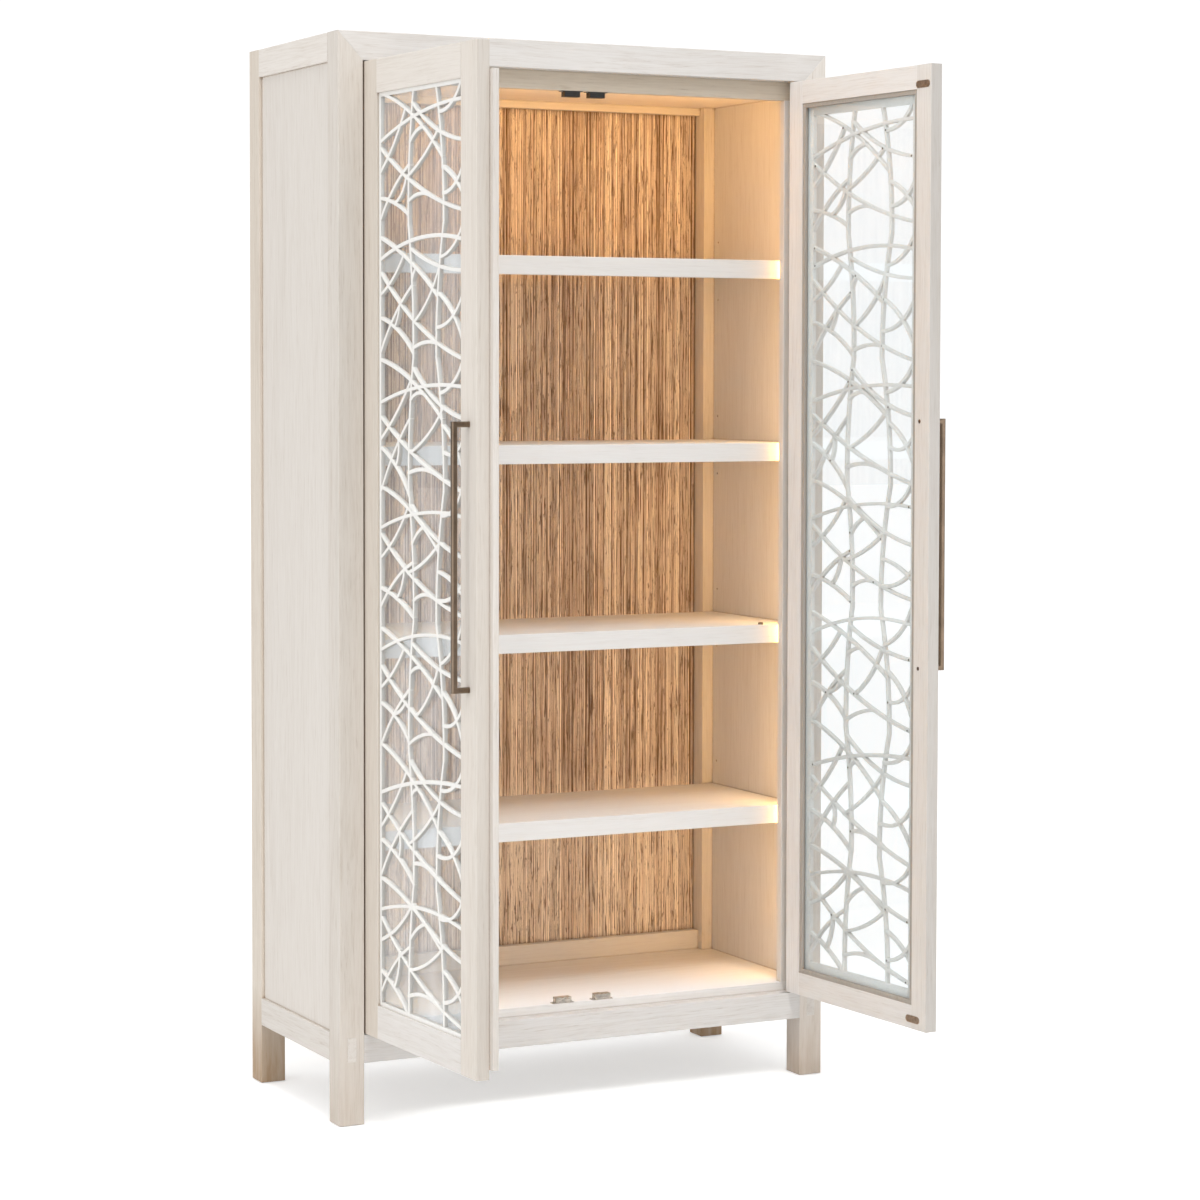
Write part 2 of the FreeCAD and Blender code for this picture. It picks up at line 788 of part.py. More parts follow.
def bay_branches(bay, x_range, z_low, bay_height):
    """The centre lines of one bay of the lattice."""
    width = x_range[1] - x_range[0]
    plane_y = front_y + door_lip
    turn = 1 if bay % 2 == 0 else -1

    def place(across_share, up_share):
        return FreeCAD.Vector(x_range[0] + width * across_share, plane_y, z_low + bay_height * up_share)

    branches = []
    for across_share, lean_share, bow_share in stem_shares:
        low = place(across_share - turn * lean_share, 0)
        middle = place(across_share + turn * bow_share, 1 / 2)
        branches.append((low, middle, place(across_share + turn * lean_share, 1)))

    def end_point(carrier, share):
        if carrier == "left":
            return place(0, share)
        if carrier == "right":
            return place(1, share)
        return arc_point(branches[carrier], share)

    def sway(shares, index):
        branch_step, bay_step, first = shares
        return lattice_sway_share * math.sin(branch_step * index + bay_step * bay + first)

    for index, (start_on, start_share, end_on, end_share, bow_share) in enumerate(branch_shares):
        start_sway = sway(start_sway_shares, index)
        end_sway = sway(end_sway_shares, index)
        start = end_point(start_on, start_share + start_sway)
        end = end_point(end_on, end_share + end_sway)
        branches.append(bowed(start, end, bow_share * (1 + bow_sway_share * start_sway)))
    return branches


def rectangle_face(x_range, z_range):
    """A flat rectangle in the lattice's plane."""
    plane_y = front_y + door_lip
    corners = [
        FreeCAD.Vector(x_range[0], plane_y, z_range[0]),
        FreeCAD.Vector(x_range[1], plane_y, z_range[0]),
        FreeCAD.Vector(x_range[1], plane_y, z_range[1]),
        FreeCAD.Vector(x_range[0], plane_y, z_range[1]),
    ]
    return Part.Face(Part.makePolygon(corners + corners[:1]))


def lattice():
    """The fretted panel: a strip frame filled with curved branches, all flush."""
    across, upward = door_window()
    outer = rectangle_face(shrunk(across, pocket_clearance), shrunk(upward, pocket_clearance))
    window_x = shrunk(across, strip_width + pocket_clearance)
    window_z = shrunk(upward, strip_width + pocket_clearance)
    ring = outer.cut(rectangle_face(window_x, window_z)).Faces[0]
    half_strip = strip_width / 2
    clip = rectangle_face(shrunk(window_x, -half_strip), shrunk(window_z, -half_strip))
    bay_height = (window_z[1] - window_z[0]) / lattice_bays
    faces = []
    for bay in range(lattice_bays):
        for branch in bay_branches(bay, window_x, window_z[0] + bay * bay_height, bay_height):
            faces.append(branch_face(branch))
    net = faces[0].multiFuse(faces[1:] + [ring])
    trimmed = net.common(clip).multiFuse([ring]).removeSplitter()
    solids = [face.extrude(FreeCAD.Vector(0, lattice_depth, 0)) for face in trimmed.Faces]
    return solids[0] if len(solids) == 1 else joined(solids)


def glass():
    """The pane behind the lattice."""
    across, upward = door_window()
    y_low = front_y + door_lip + lattice_depth
    x_range = shrunk(across, pocket_clearance)
    z_range = shrunk(upward, pocket_clearance)
    return box(x_range, (y_low, y_low + glass_thickness), z_range)


def glazing_beads():
    """Four strips that hold the pane from inside."""
    across, upward = door_window()
    y_low = front_y + door_lip + lattice_depth + glass_thickness
    y_range = (y_low, y_low + bead_depth)
    hinge_bead = box((across[0], across[0] + bead_width), y_range, upward)
    free_bead = box((across[1] - bead_width, across[1]), y_range, upward)
    between = shrunk(across, bead_width)
    low_bead = box(between, y_range, (upward[0], upward[0] + bead_width))
    high_bead = box(between, y_range, (upward[1] - bead_width, upward[1]))
    return Part.makeCompound([hinge_bead, free_bead, low_bead, high_bead])


def handle_section_points(centre, first, second):
    """A square with its corners cut off, centred on a point and lying along two directions."""
    half = handle_section / 2
    short = half - handle_chamfer
    corners = [
        (half, short), (short, half), (-short, half), (-half, short),
        (-half, -short), (-short, -half), (short, -half), (half, -short),
    ]
    return [centre + first * along + second * aside for along, aside in corners]


def handle_places():
    """The x of the handle and the heights of its two legs."""
    x = door_free_x - handle_edge_setback
    half = (handle_length - handle_section) / 2
    return x, (handle_centre_z - half, handle_centre_z + half)


def handle():
    """A straight square bar on two legs."""
    x, leg_zs = handle_places()
    across = FreeCAD.Vector(1, 0, 0)
    outward = FreeCAD.Vector(0, 1, 0)
    low = FreeCAD.Vector(x, front_y - handle_reach, handle_centre_z - handle_length / 2)
    parts = [prism(handle_section_points(low, across, outward), UP * handle_length)]
    for z in leg_zs:
        foot = FreeCAD.Vector(x, front_y, z)
        leg = prism(handle_section_points(foot, across, UP), FreeCAD.Vector(0, -handle_reach, 0))
        parts.append(leg)
    holes = []
    for z in leg_zs:
        start = FreeCAD.Vector(x, front_y + overrun, z)
        depth = FreeCAD.Vector(0, -overrun - handle_screw_grip - screw_clearance, 0)
        holes.append(rod(handle_screw_radius + screw_clearance, start, depth))
    return cut_all(joined(parts), holes)


def handle_screws():
    """Two machine screws from the door's inner face into the handle's legs, and their holes."""
    x, leg_zs = handle_places()
    seat_y = door_inner_y - handle_screw_recess
    screws = []
    holes = []
    for z in leg_zs:
        seat = FreeCAD.Vector(x, seat_y, z)
        head = rod(handle_screw_head_radius, seat, FreeCAD.Vector(0, handle_screw_head_height, 0))
        reach = FreeCAD.Vector(0, front_y - handle_screw_grip - seat_y, 0)
        screws.append(joined([head, rod(handle_screw_radius, seat, reach)]))
        recess = FreeCAD.Vector(0, handle_screw_recess + overrun, 0)
        holes.append(rod(handle_screw_recess_radius, seat, recess))
        holes.append(rod(handle_screw_radius + screw_clearance, seat, reach))
    return Part.makeCompound(screws), holes


def strike(x, z):
    """One catch plate with round ends, and its two screws."""
    half = (strike_length - strike_height) / 2
    radius = strike_height / 2
    out = FreeCAD.Vector(0, strike_thickness, 0)
    parts = [box((x - half, x + half), (door_inner_y, door_inner_y + strike_thickness), (z - radius, z + radius))]
    for side in (-1, 1):
        parts.append(rod(radius, FreeCAD.Vector(x + side * half, door_inner_y, z), out))
    screws = []
    for side in (-1, 1):
        top = FreeCAD.Vector(x + side * strike_length / 2 * strike_screw_share, door_inner_y, z)
        head = Part.makeCone(
            strike_screw_radius, strike_screw_head_radius, strike_thickness, top, FreeCAD.Vector(0, 1, 0)
        )
        shank = rod(strike_screw_radius, top, FreeCAD.Vector(0, -strike_screw_length, 0))
        screws.append(joined([head, shank]))
    return cut_all(joined(parts), screws), screws


def strikes():
    """The plates at the top and bottom of a door's free side, with their screws."""
    low_plate, low_screws = strike(-bottom_catch_x, door_bottom_z + bottom_strike_rise)
    high_plate, high_screws = strike(-top_catch_x, door_top_z - top_strike_drop)
    screws = low_screws + high_screws
    return Part.makeCompound([low_plate, high_plate] + screws), screws


def door():
    """Every piece that both doors have, closed, on the left."""
    bottom_plate, bottom_pin, _, _ = bottom_pivot()
    plates = [bottom_plate, upended(bottom_plate)]
    rail, tenon = door_bottom_rail()
    tenons = [tenon, upended(tenon)]
    up = UP * (door_top_z - door_bottom_z)
    hinge_stile = eased(prism(door_section(1), up), UP, door_ease)
    free_stile = eased(prism(door_section(-1), up), UP, door_ease)
    screws, screw_holes = handle_screws()
    strike_set, strike_screws = strikes()
    rail = eased(rail, FreeCAD.Vector(1, 0, 0), door_ease)
    return {
        "hinge_stile": cut_all(hinge_stile, plates + tenons),
        "free_stile": cut_all(free_stile, tenons + screw_holes + strike_screws),
        "bottom_rail": cut_all(rail, plates + strike_screws),
        "top_rail": cut_all(upended(rail), plates + strike_screws),
        "lattice": lattice(),
        "glass": glass(),
        "glazing_beads": glazing_beads(),
        "handle": handle(),
        "handle_screws": screws,
        "strike_plates": strike_set,
        "pivot_pins": Part.makeCompound([bottom_pin, upended(bottom_pin)]),
    }


def astragal():
    """The strip on the left door that covers the gap and laps behind the right door."""
    tip_x = door_free_x + astragal_overhang
    back = door_inner_y + astragal_thickness
    step_y = door_inner_y + astragal_relief
    z_low = floor_z + astragal_floor_gap
    points = [
        FreeCAD.Vector(tip_x - astragal_width, door_inner_y, z_low),
        FreeCAD.Vector(door_free_x, door_inner_y, z_low),
        FreeCAD.Vector(door_free_x, step_y, z_low),
        FreeCAD.Vector(tip_x, step_y, z_low),
        FreeCAD.Vector(tip_x, back, z_low),
        FreeCAD.Vector(tip_x - astragal_width, back, z_low),
    ]
    return prism(points, UP * (lintel_z - astragal_lintel_gap - z_low))


def cabinet():
    """Every piece of the carcass."""
    pieces = carcass_frame()
    pieces.update(boards())
    pieces.update(stops_and_lights())
    pieces.update(shelves())
    pieces.update(catches())
    pieces["shelf_pins"] = shelf_pins()
    pieces["touch_switch"] = touch_switch()
    pieces["foot_glides"] = foot_glides()
    pieces["pivot_sockets"] = pivot_sockets()
    pieces["back_board_screws"] = back_screws()

    recesses = socket_recesses()
    for name in ("front_rail_top", "front_rail_bottom"):
        pieces[name] = pieces[name].cut(recesses)
    for name in ("top_stop_rail", "bottom_board"):
        pieces[name] = pieces[name].cut(pieces["catch_screws"])
    for name in ("back_board", "rear_rail_top", "rear_rail_bottom", "rear_post_left", "rear_post_right"):
        pieces[name] = pieces[name].cut(pieces["back_board_screws"])
    return pieces


def doors():
    """Both doors, turned to the angles that they stand open at."""
    pieces = {}
    left_axis = FreeCAD.Vector(pivot_x, pivot_y, 0)
    right_axis = FreeCAD.Vector(-pivot_x, pivot_y, 0)
    shared = door()
    for name, shape in shared.items():
        twin = mirrored(shape)
        pieces["left_door_" + name] = shape.copy().rotate(left_axis, UP, -left_door_open)
        pieces["right_door_" + name] = twin.rotate(right_axis, UP, right_door_open)
    pieces["left_door_astragal"] = astragal().rotate(left_axis, UP, -left_door_open)
    return pieces


def main():
    pieces = cabinet()
    pieces.update(doors())
    bounds = FreeCAD.BoundBox()
    for shape in pieces.values():
        bounds.add(shape.BoundBox)
    # The origin is the middle of the whole outline on the floor, with the doors open.
    shift = FreeCAD.Vector(-bounds.Center.x, -bounds.Center.y, -bounds.ZMin)
    print("shift from carcass centre", tuple(round(value, 4) for value in shift))
    print("left pivot", round(pivot_x + shift.x, 4), round(pivot_y + shift.y, 4))
    print("right pivot", round(-pivot_x + shift.x, 4), round(pivot_y + shift.y, 4))
    print("size", round(bounds.XLength, 3), round(bounds.YLength, 3), round(bounds.ZLength, 3))
    os.makedirs("parts", exist_ok=True)
    for name, shape in sorted(pieces.items()):
        shape.translate(shift)
        shape.exportStep("parts/" + name + ".step")
    print(len(pieces), "pieces")


main()
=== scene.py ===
import json
import math
import random

import bpy
from bpy.props import FloatProperty, FloatVectorProperty, IntProperty, PointerProperty
from mathutils import Matrix, Vector


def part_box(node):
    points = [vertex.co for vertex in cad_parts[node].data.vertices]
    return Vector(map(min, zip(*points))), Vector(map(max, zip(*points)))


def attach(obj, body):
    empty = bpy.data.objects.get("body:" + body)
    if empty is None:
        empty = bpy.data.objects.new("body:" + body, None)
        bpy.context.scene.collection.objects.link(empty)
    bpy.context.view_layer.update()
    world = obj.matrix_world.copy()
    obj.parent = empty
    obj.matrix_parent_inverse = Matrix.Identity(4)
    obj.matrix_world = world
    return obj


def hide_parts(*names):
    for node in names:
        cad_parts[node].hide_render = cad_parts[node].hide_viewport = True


bl_info = {
    "name": "Lattice door cabinet",
    "version": (1, 0, 0),
    "blender": (4, 5, 0),
    "location": "3D View > Sidebar > Cabinet",
    "description": "Finishes, lattice, reed back, lights and studio for a white-washed oak display cabinet",
    "category": "Object",
}

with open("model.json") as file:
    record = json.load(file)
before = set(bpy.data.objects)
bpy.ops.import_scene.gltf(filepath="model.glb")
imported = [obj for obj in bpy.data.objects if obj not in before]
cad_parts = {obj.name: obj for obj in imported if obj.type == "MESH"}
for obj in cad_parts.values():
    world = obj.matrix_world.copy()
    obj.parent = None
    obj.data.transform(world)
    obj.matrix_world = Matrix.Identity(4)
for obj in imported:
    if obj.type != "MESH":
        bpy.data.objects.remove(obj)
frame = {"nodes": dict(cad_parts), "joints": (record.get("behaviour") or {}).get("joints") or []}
CAD = frame["nodes"]
MM = 0.001
BLACK = (0.0, 0.0, 0.0, 1.0)
WHITE = (1.0, 1.0, 1.0, 1.0)

# The doors are shown open. A joint's value is zero there, and its lower limit is the closed door.
HINGES = {joint["child"]: joint for joint in frame["joints"]}
LEFT_OPEN = math.radians(-HINGES["left_door"]["range_deg"][0])
RIGHT_OPEN = math.radians(-HINGES["right_door"]["range_deg"][0])
LEFT_PIN = Vector(HINGES["left_door"]["pos_m"])
RIGHT_PIN = Vector(HINGES["right_door"]["pos_m"])

DOORS = ("left_door", "right_door")
SIDES = ("_left", "_right")

# Which way the grain runs in the carcass: up, across the front, or from front to back.
UPRIGHT = [name + side for name in ("front_post", "rear_post", "stop_stile") for side in SIDES]
ACROSS = ["front_rail_top", "front_rail_bottom", "rear_rail_top", "rear_rail_bottom", "top_stop_rail"]
INWARD = [name + side for name in ("side_rail_top", "side_rail_bottom") for side in SIDES]


# Settings.


def colour(name, description, default):
    """A colour that the sidebar shows."""
    return FloatVectorProperty(
        name=name, description=description, subtype="COLOR", size=4, min=0.0, max=1.0,
        default=default + (1.0,),
    )


def level(name, description, default, **kind):
    """A number from zero up."""
    return FloatProperty(name=name, description=description, default=default, min=0.0, **kind)


def length(name, description, default):
    """A length in metres."""
    return level(name, description, default, unit="LENGTH", precision=5)


def share(name, description, default):
    """A share from nothing to all."""
    return level(name, description, default, max=1.0, subtype="FACTOR")


def watts(name, description, default):
    """A lamp's power."""
    return level(name, description, default, unit="POWER")


class OakSettings(bpy.types.PropertyGroup):
    """Colours and marks of the white-washed oak."""

    pale: colour("Wash", "Colour of the white wash", (0.74, 0.70, 0.655))
    deep: colour("Grain", "Colour where the wood shows through the wash", (0.46, 0.385, 0.31))
    # Painted highlight: the edge colour lightens the rounded edges as if they catch the light.
    edge: colour("Edge", "Colour of the rubbed edges", (0.92, 0.90, 0.87))
    fibre: share("Fibre", "How strongly the fine lines show", 0.42)
    figure: share("Figure", "How strongly the broad bands show", 0.30)
    pores: share("Pores", "How strongly the open pores show", 0.45)
    edge_width: length("Edge width", "How far the rubbed edges reach", 1.6 * MM)
    # Painted shade: the crevice colour darkens corners and recesses.
    tan: colour("Tan", "Colour of the crevices", (0.36, 0.26, 0.175))
    # The foot colour darkens the posts towards the floor: partly a thinner wash, partly painted shade.
    foot: colour("Foot", "Colour of the worn feet", (0.36, 0.21, 0.09))
    crevice: share("Crevices", "How strongly the crevices show", 0.75)
    crevice_width: length("Crevice width", "How far from a corner a crevice reaches", 7.0 * MM)
    # Painted shadow deep in the narrow gaps.
    gap: colour("Gap", "Colour deep in the narrow gaps", (0.11, 0.065, 0.04))
    # Painted light: a pool of light on the bottom board's top near the doors.
    bleach: colour("Bleached", "Colour of the bottom board's top near the doors", (0.98, 0.98, 0.99))


class LatticeSettings(bpy.types.PropertyGroup):
    """Sizes and finish of the branches in the doors."""

    lacquer: colour("Lacquer", "Colour of the branches", (0.90, 0.89, 0.86))
    # Painted shade: this colour darkens the corners and the sides that face down, besides faint mottling.
    dust_and_shade: colour("Dust", "Colour in the corners and on the lower sides", (0.52, 0.49, 0.455))
    width: length("Width", "Width of a branch, seen from the front", 7.4 * MM)
    depth: length("Depth", "Depth of a branch", 8.6 * MM)
    edge: length("Edge radius", "Roundness of a branch's long edges", 1.3 * MM)
    tuck: length("Tuck", "How far a branch runs into the one that carries it", 3.2 * MM)
    brad: length("Brad radius", "Radius of the brads on the glass side", 2.2 * MM)


class ReedSettings(bpy.types.PropertyGroup):
    """Sizes and colours of the reed mat."""

    narrow: length("Narrowest", "Width of the thinnest reed", 1.5 * MM)
    wide: length("Widest", "Width of the broadest reed", 4.8 * MM)
    height: length("Height", "How far a reed stands off the mat", 2.2 * MM)
    # The backing is dark as painted shade between the reeds.
    backing: length("Backing", "Thickness of the dark backing", 1.2 * MM)
    light: colour("Light reed", "Colour of the palest reeds", (0.98, 0.86, 0.72))
    middle: colour("Middle reed", "Colour of most reeds", (0.72, 0.56, 0.44))
    dark: colour("Dark reed", "Colour of the darkest reeds", (0.17, 0.095, 0.055))
    seed: IntProperty(name="Seed", description="Another number lays the reeds another way", default=11)


class LightSettings(bpy.types.PropertyGroup):
    """The warm lights inside the cabinet."""

    warm: colour("Warm light", "Colour of the light strips", (1.0, 0.52, 0.092))
    glow: level("Glow", "Brightness of the diffusers", 3.0)
    strip: watts("Strips", "Power of each light strip", 2.3)
    top: watts("Top", "Power of the light under the top", 0.95)


class StageSettings(bpy.types.PropertyGroup):
    """The studio round the cabinet."""

    floor: colour("Floor", "Colour of the floor", (0.93, 0.93, 0.93))
    shine: level("Floor glow", "How much brighter the camera sees the floor", 0.36)
    sky: level("Room light", "Brightness of the white room", 0.84)
    gloom: level("Reflected room", "Brightness of the room in reflections", 0.28)
    key: watts("Key light", "Power of the left lamp", 34.0)
    over: watts("Top light", "Power of the lamp above", 55.0)
    base: watts("Base light", "Power of the lamp on the base", 1.45)
    card: watts("Cool card", "Power of the card that the glass mirrors", 5.0)
    gleam: watts("Gleam", "Power of the card that the right handle mirrors", 18.0)
    glint: watts("Glint", "Power of the card that the left handle mirrors", 24.0)
    lens: level("Lens", "Focal length of the camera", 95.253, unit="CAMERA")


class CabinetSettings(bpy.types.PropertyGroup):
    """Everything that the sidebar can change."""

    oak: PointerProperty(type=OakSettings)
    lattice: PointerProperty(type=LatticeSettings)
    reed: PointerProperty(type=ReedSettings)
    light: PointerProperty(type=LightSettings)
    stage: PointerProperty(type=StageSettings)


# Shader tools.


class Graph:
    """A short way to add and link nodes in one tree."""

    def __init__(self, tree):
        self.tree = tree

    def feed(self, node, inputs):
        """Sets a node's inputs, or links those whose value is another node's output."""
        for key, value in inputs.items():
            if isinstance(value, bpy.types.NodeSocket):
                self.tree.links.new(value, node.inputs[key])
            else:
                node.inputs[key].default_value = value

    def add(self, kind, inputs=None, **settings):
        """A new node with its settings and inputs."""
        node = self.tree.nodes.new(kind)
        for key, value in settings.items():
            setattr(node, key, value)
        self.feed(node, inputs or {})
        return node

    def noise(self, vector, scale, detail=3.0, roughness=0.6, distortion=0.0):
        """Soft noise from zero to one."""
        node = self.add("ShaderNodeTexNoise", {
            "Vector": vector, "Scale": scale,
            "Detail": detail, "Roughness": roughness, "Distortion": distortion,
        })
        return node.outputs["Fac"]

    def stretched(self, vector, across, along):
        """A vector scaled so that what reads it is drawn out along Z."""
        node = self.add("ShaderNodeMapping", {"Vector": vector, "Scale": (across, across, along)})
        return node.outputs["Vector"]

    def streaks(self, vector, across, along, *texture):
        """Noise in streaks along Z, as fine across them and along them as told."""
        return self.noise(self.stretched(vector, across, along), 1.0, *texture)

    def ramp(self, value, low, high, start=0.0, end=1.0):
        """Runs from start to end while the value runs from low to high."""
        node = self.add("ShaderNodeMapRange", {
            "Value": value, "From Min": low, "From Max": high, "To Min": start, "To Max": end,
        }, clamp=True)
        return node.outputs["Result"]

    def math(self, operation, first, second=0.0):
        """One sum of two numbers."""
        return self.add("ShaderNodeMath", {0: first, 1: second}, operation=operation).outputs["Value"]

    def times(self, first, second):
        """The product of two numbers."""
        return self.math("MULTIPLY", first, second)

    def vectors(self, operation, first, second):
        """One sum of two vectors."""
        node = self.add("ShaderNodeVectorMath", {0: first, 1: second}, operation=operation)
        return node.outputs["Value" if operation == "DOT_PRODUCT" else "Vector"]

    def along(self, axis, vector):
        """One axis of a vector."""
        return self.add("ShaderNodeSeparateXYZ", {0: vector}).outputs[axis]

    def open_air(self, distance, samples=4, only_local=False):
        """One on an open face, and less in a corner or a gap narrower than the distance."""
        reach = {"Distance": distance}
        node = self.add("ShaderNodeAmbientOcclusion", reach, samples=samples, only_local=only_local)
        return node.outputs["AO"]

    def bump(self, height, strength, distance, normal=None):
        """The normal of a surface with fine relief."""
        relief = {"Strength": strength, "Distance": distance, "Height": height}
        if normal is not None:
            relief["Normal"] = normal
        return self.add("ShaderNodeBump", relief).outputs["Normal"]

    def mix(self, amount, first, second):
        """The first colour, and the second as far as the amount says."""
        node = self.add("ShaderNodeMix", {0: amount, 6: first, 7: second}, data_type="RGBA")
        return node.outputs[2]


def new_group(name, inputs, outputs):
    """An empty shader group with named sockets."""
    tree = bpy.data.node_groups.new(name, "ShaderNodeTree")
    for label, kind in inputs:
        tree.interface.new_socket(label, in_out="INPUT", socket_type="NodeSocket" + kind)
    for label, kind in outputs:
        tree.interface.new_socket(label, in_out="OUTPUT", socket_type="NodeSocket" + kind)
    graph = Graph(tree)
    return graph, graph.add("NodeGroupInput"), graph.add("NodeGroupOutput")


def oak_group():
    """The grain of white-washed oak, which runs along Z of the vector that it gets."""
    name = "Oak grain"
    if name in bpy.data.node_groups:
        return bpy.data.node_groups[name]
    graph, given, out = new_group(name, [
        ("Vector", "Vector"), ("Pale", "Color"), ("Deep", "Color"),
        ("Fibre", "Float"), ("Figure", "Float"), ("Pores", "Float"),
    ], [("Color", "Color"), ("Roughness", "Float"), ("Height", "Float")])
    vector = given.outputs["Vector"]
    sway = graph.add("ShaderNodeTexNoise", {
        "Vector": graph.stretched(vector, 3.0, 1.3), "Scale": 1.0,
    }).outputs["Color"]
    bent = graph.vectors("MULTIPLY", graph.vectors("SUBTRACT", sway, (0.5, 0.5, 0.5)), (0.05, 0.05, 0.0))
    along = graph.vectors("ADD", vector, bent)

    figure = graph.ramp(graph.streaks(along, 38.0, 1.6, 3.0, 0.55, 0.6), 0.40, 0.70)
    fibre = graph.ramp(graph.streaks(along, 420.0, 17.0), 0.46, 0.64)
    streak = graph.ramp(graph.streaks(along, 190.0, 7.0), 0.46, 0.66)
    pores = graph.ramp(graph.streaks(along, 620.0, 30.0, 2.0, 0.5), 0.56, 0.66)
    wash = graph.ramp(graph.streaks(vector, 7.0, 2.5, 3.0, 0.55), 0.35, 0.70)
    lines = graph.times(graph.math("ADD", fibre, streak), given.outputs["Fibre"])
    bands = graph.times(graph.times(figure, wash), given.outputs["Figure"])
    open_pores = graph.times(graph.times(pores, streak), given.outputs["Pores"])
    total = graph.math("ADD", graph.times(lines, 0.42), graph.math("ADD", bands, open_pores))
    graph.feed(out, {
        "Color": graph.mix(graph.ramp(total, 0.0, 1.4), given.outputs["Pale"], given.outputs["Deep"]),
        "Roughness": graph.ramp(lines, 0.0, 0.8, 0.52, 0.66),
        "Height": graph.math("SUBTRACT", graph.times(fibre, -0.4), open_pores),
    })
    return graph.tree


def edge_group():
    """A mask that is bright where a surface turns over an edge, and the rounded normal."""
    name = "Eased edge"
    if name in bpy.data.node_groups:
        return bpy.data.node_groups[name]
    graph, given, out = new_group(
        name, [("Vector", "Vector"), ("Radius", "Float")], [("Mask", "Float"), ("Normal", "Vector")]
    )
    rounded = graph.add("ShaderNodeBevel", {"Radius": given.outputs["Radius"]}, samples=6).outputs["Normal"]
    flat = graph.add("ShaderNodeNewGeometry").outputs["Normal"]
    turned = graph.ramp(graph.vectors("DOT_PRODUCT", rounded, flat), 0.995, 0.80)
    patchy = graph.ramp(graph.noise(given.outputs["Vector"], 60.0), 0.30, 0.65, 0.35, 1.0)
    graph.feed(out, {"Mask": graph.times(turned, patchy), "Normal": rounded})
    return graph.tree


def eased(graph, vector, radius):
    """The node of the edge group in a material."""
    return graph.add("ShaderNodeGroup", {"Vector": vector, "Radius": radius}, node_tree=edge_group())


def dimmed(tone, factor):
    """A colour made darker."""
    return tuple(part * factor for part in tone[:3]) + (1.0,)


def new_material(name):
    """An empty material with a Principled shader, and its graph."""
    old = bpy.data.materials.get(name)
    if old is not None:
        bpy.data.materials.remove(old)
    material = bpy.data.materials.new(name)
    material.use_nodes = True
    graph = Graph(material.node_tree)
    material.node_tree.nodes.clear()
    shader = graph.add("ShaderNodeBsdfPrincipled")
    output = graph.add("ShaderNodeOutputMaterial", {"Surface": shader.outputs["BSDF"]})
    return material, graph, shader, output


def object_vector(graph, offset=(0.0, 0.0, 0.0), turns=()):
    """Object coordinates, moved and then turned."""
    vector = graph.add("ShaderNodeTexCoord").outputs["Object"]
    vector = graph.add("ShaderNodeMapping", {"Vector": vector, "Location": offset}).outputs["Vector"]
    for turn in turns:
        vector = graph.add("ShaderNodeMapping", {"Vector": vector, "Rotation": turn}).outputs["Vector"]
    return vector


def object_normal(graph):
    """The way a face looks in its piece's own axes, so that it stays when a door swings."""
    return graph.add("ShaderNodeTexCoord").outputs["Normal"]


def dress(node, material):
    """Gives a carried-over piece its finish."""
    mesh = CAD[node].data
    mesh.materials.clear()
    mesh.materials.append(material)


LYING = (0.0, -math.pi / 2, 0.0)
TURN = {
    "up": (),
    "across": (LYING,),
    "inward": ((math.pi / 2, 0.0, 0.0),),
    "left_door_up": ((0.0, 0.0, LEFT_OPEN),),
    "left_door_across": ((0.0, 0.0, LEFT_OPEN), LYING),
    "right_door_up": ((0.0, 0.0, -RIGHT_OPEN),),
    "right_door_across": ((0.0, 0.0, -RIGHT_OPEN), LYING),
}


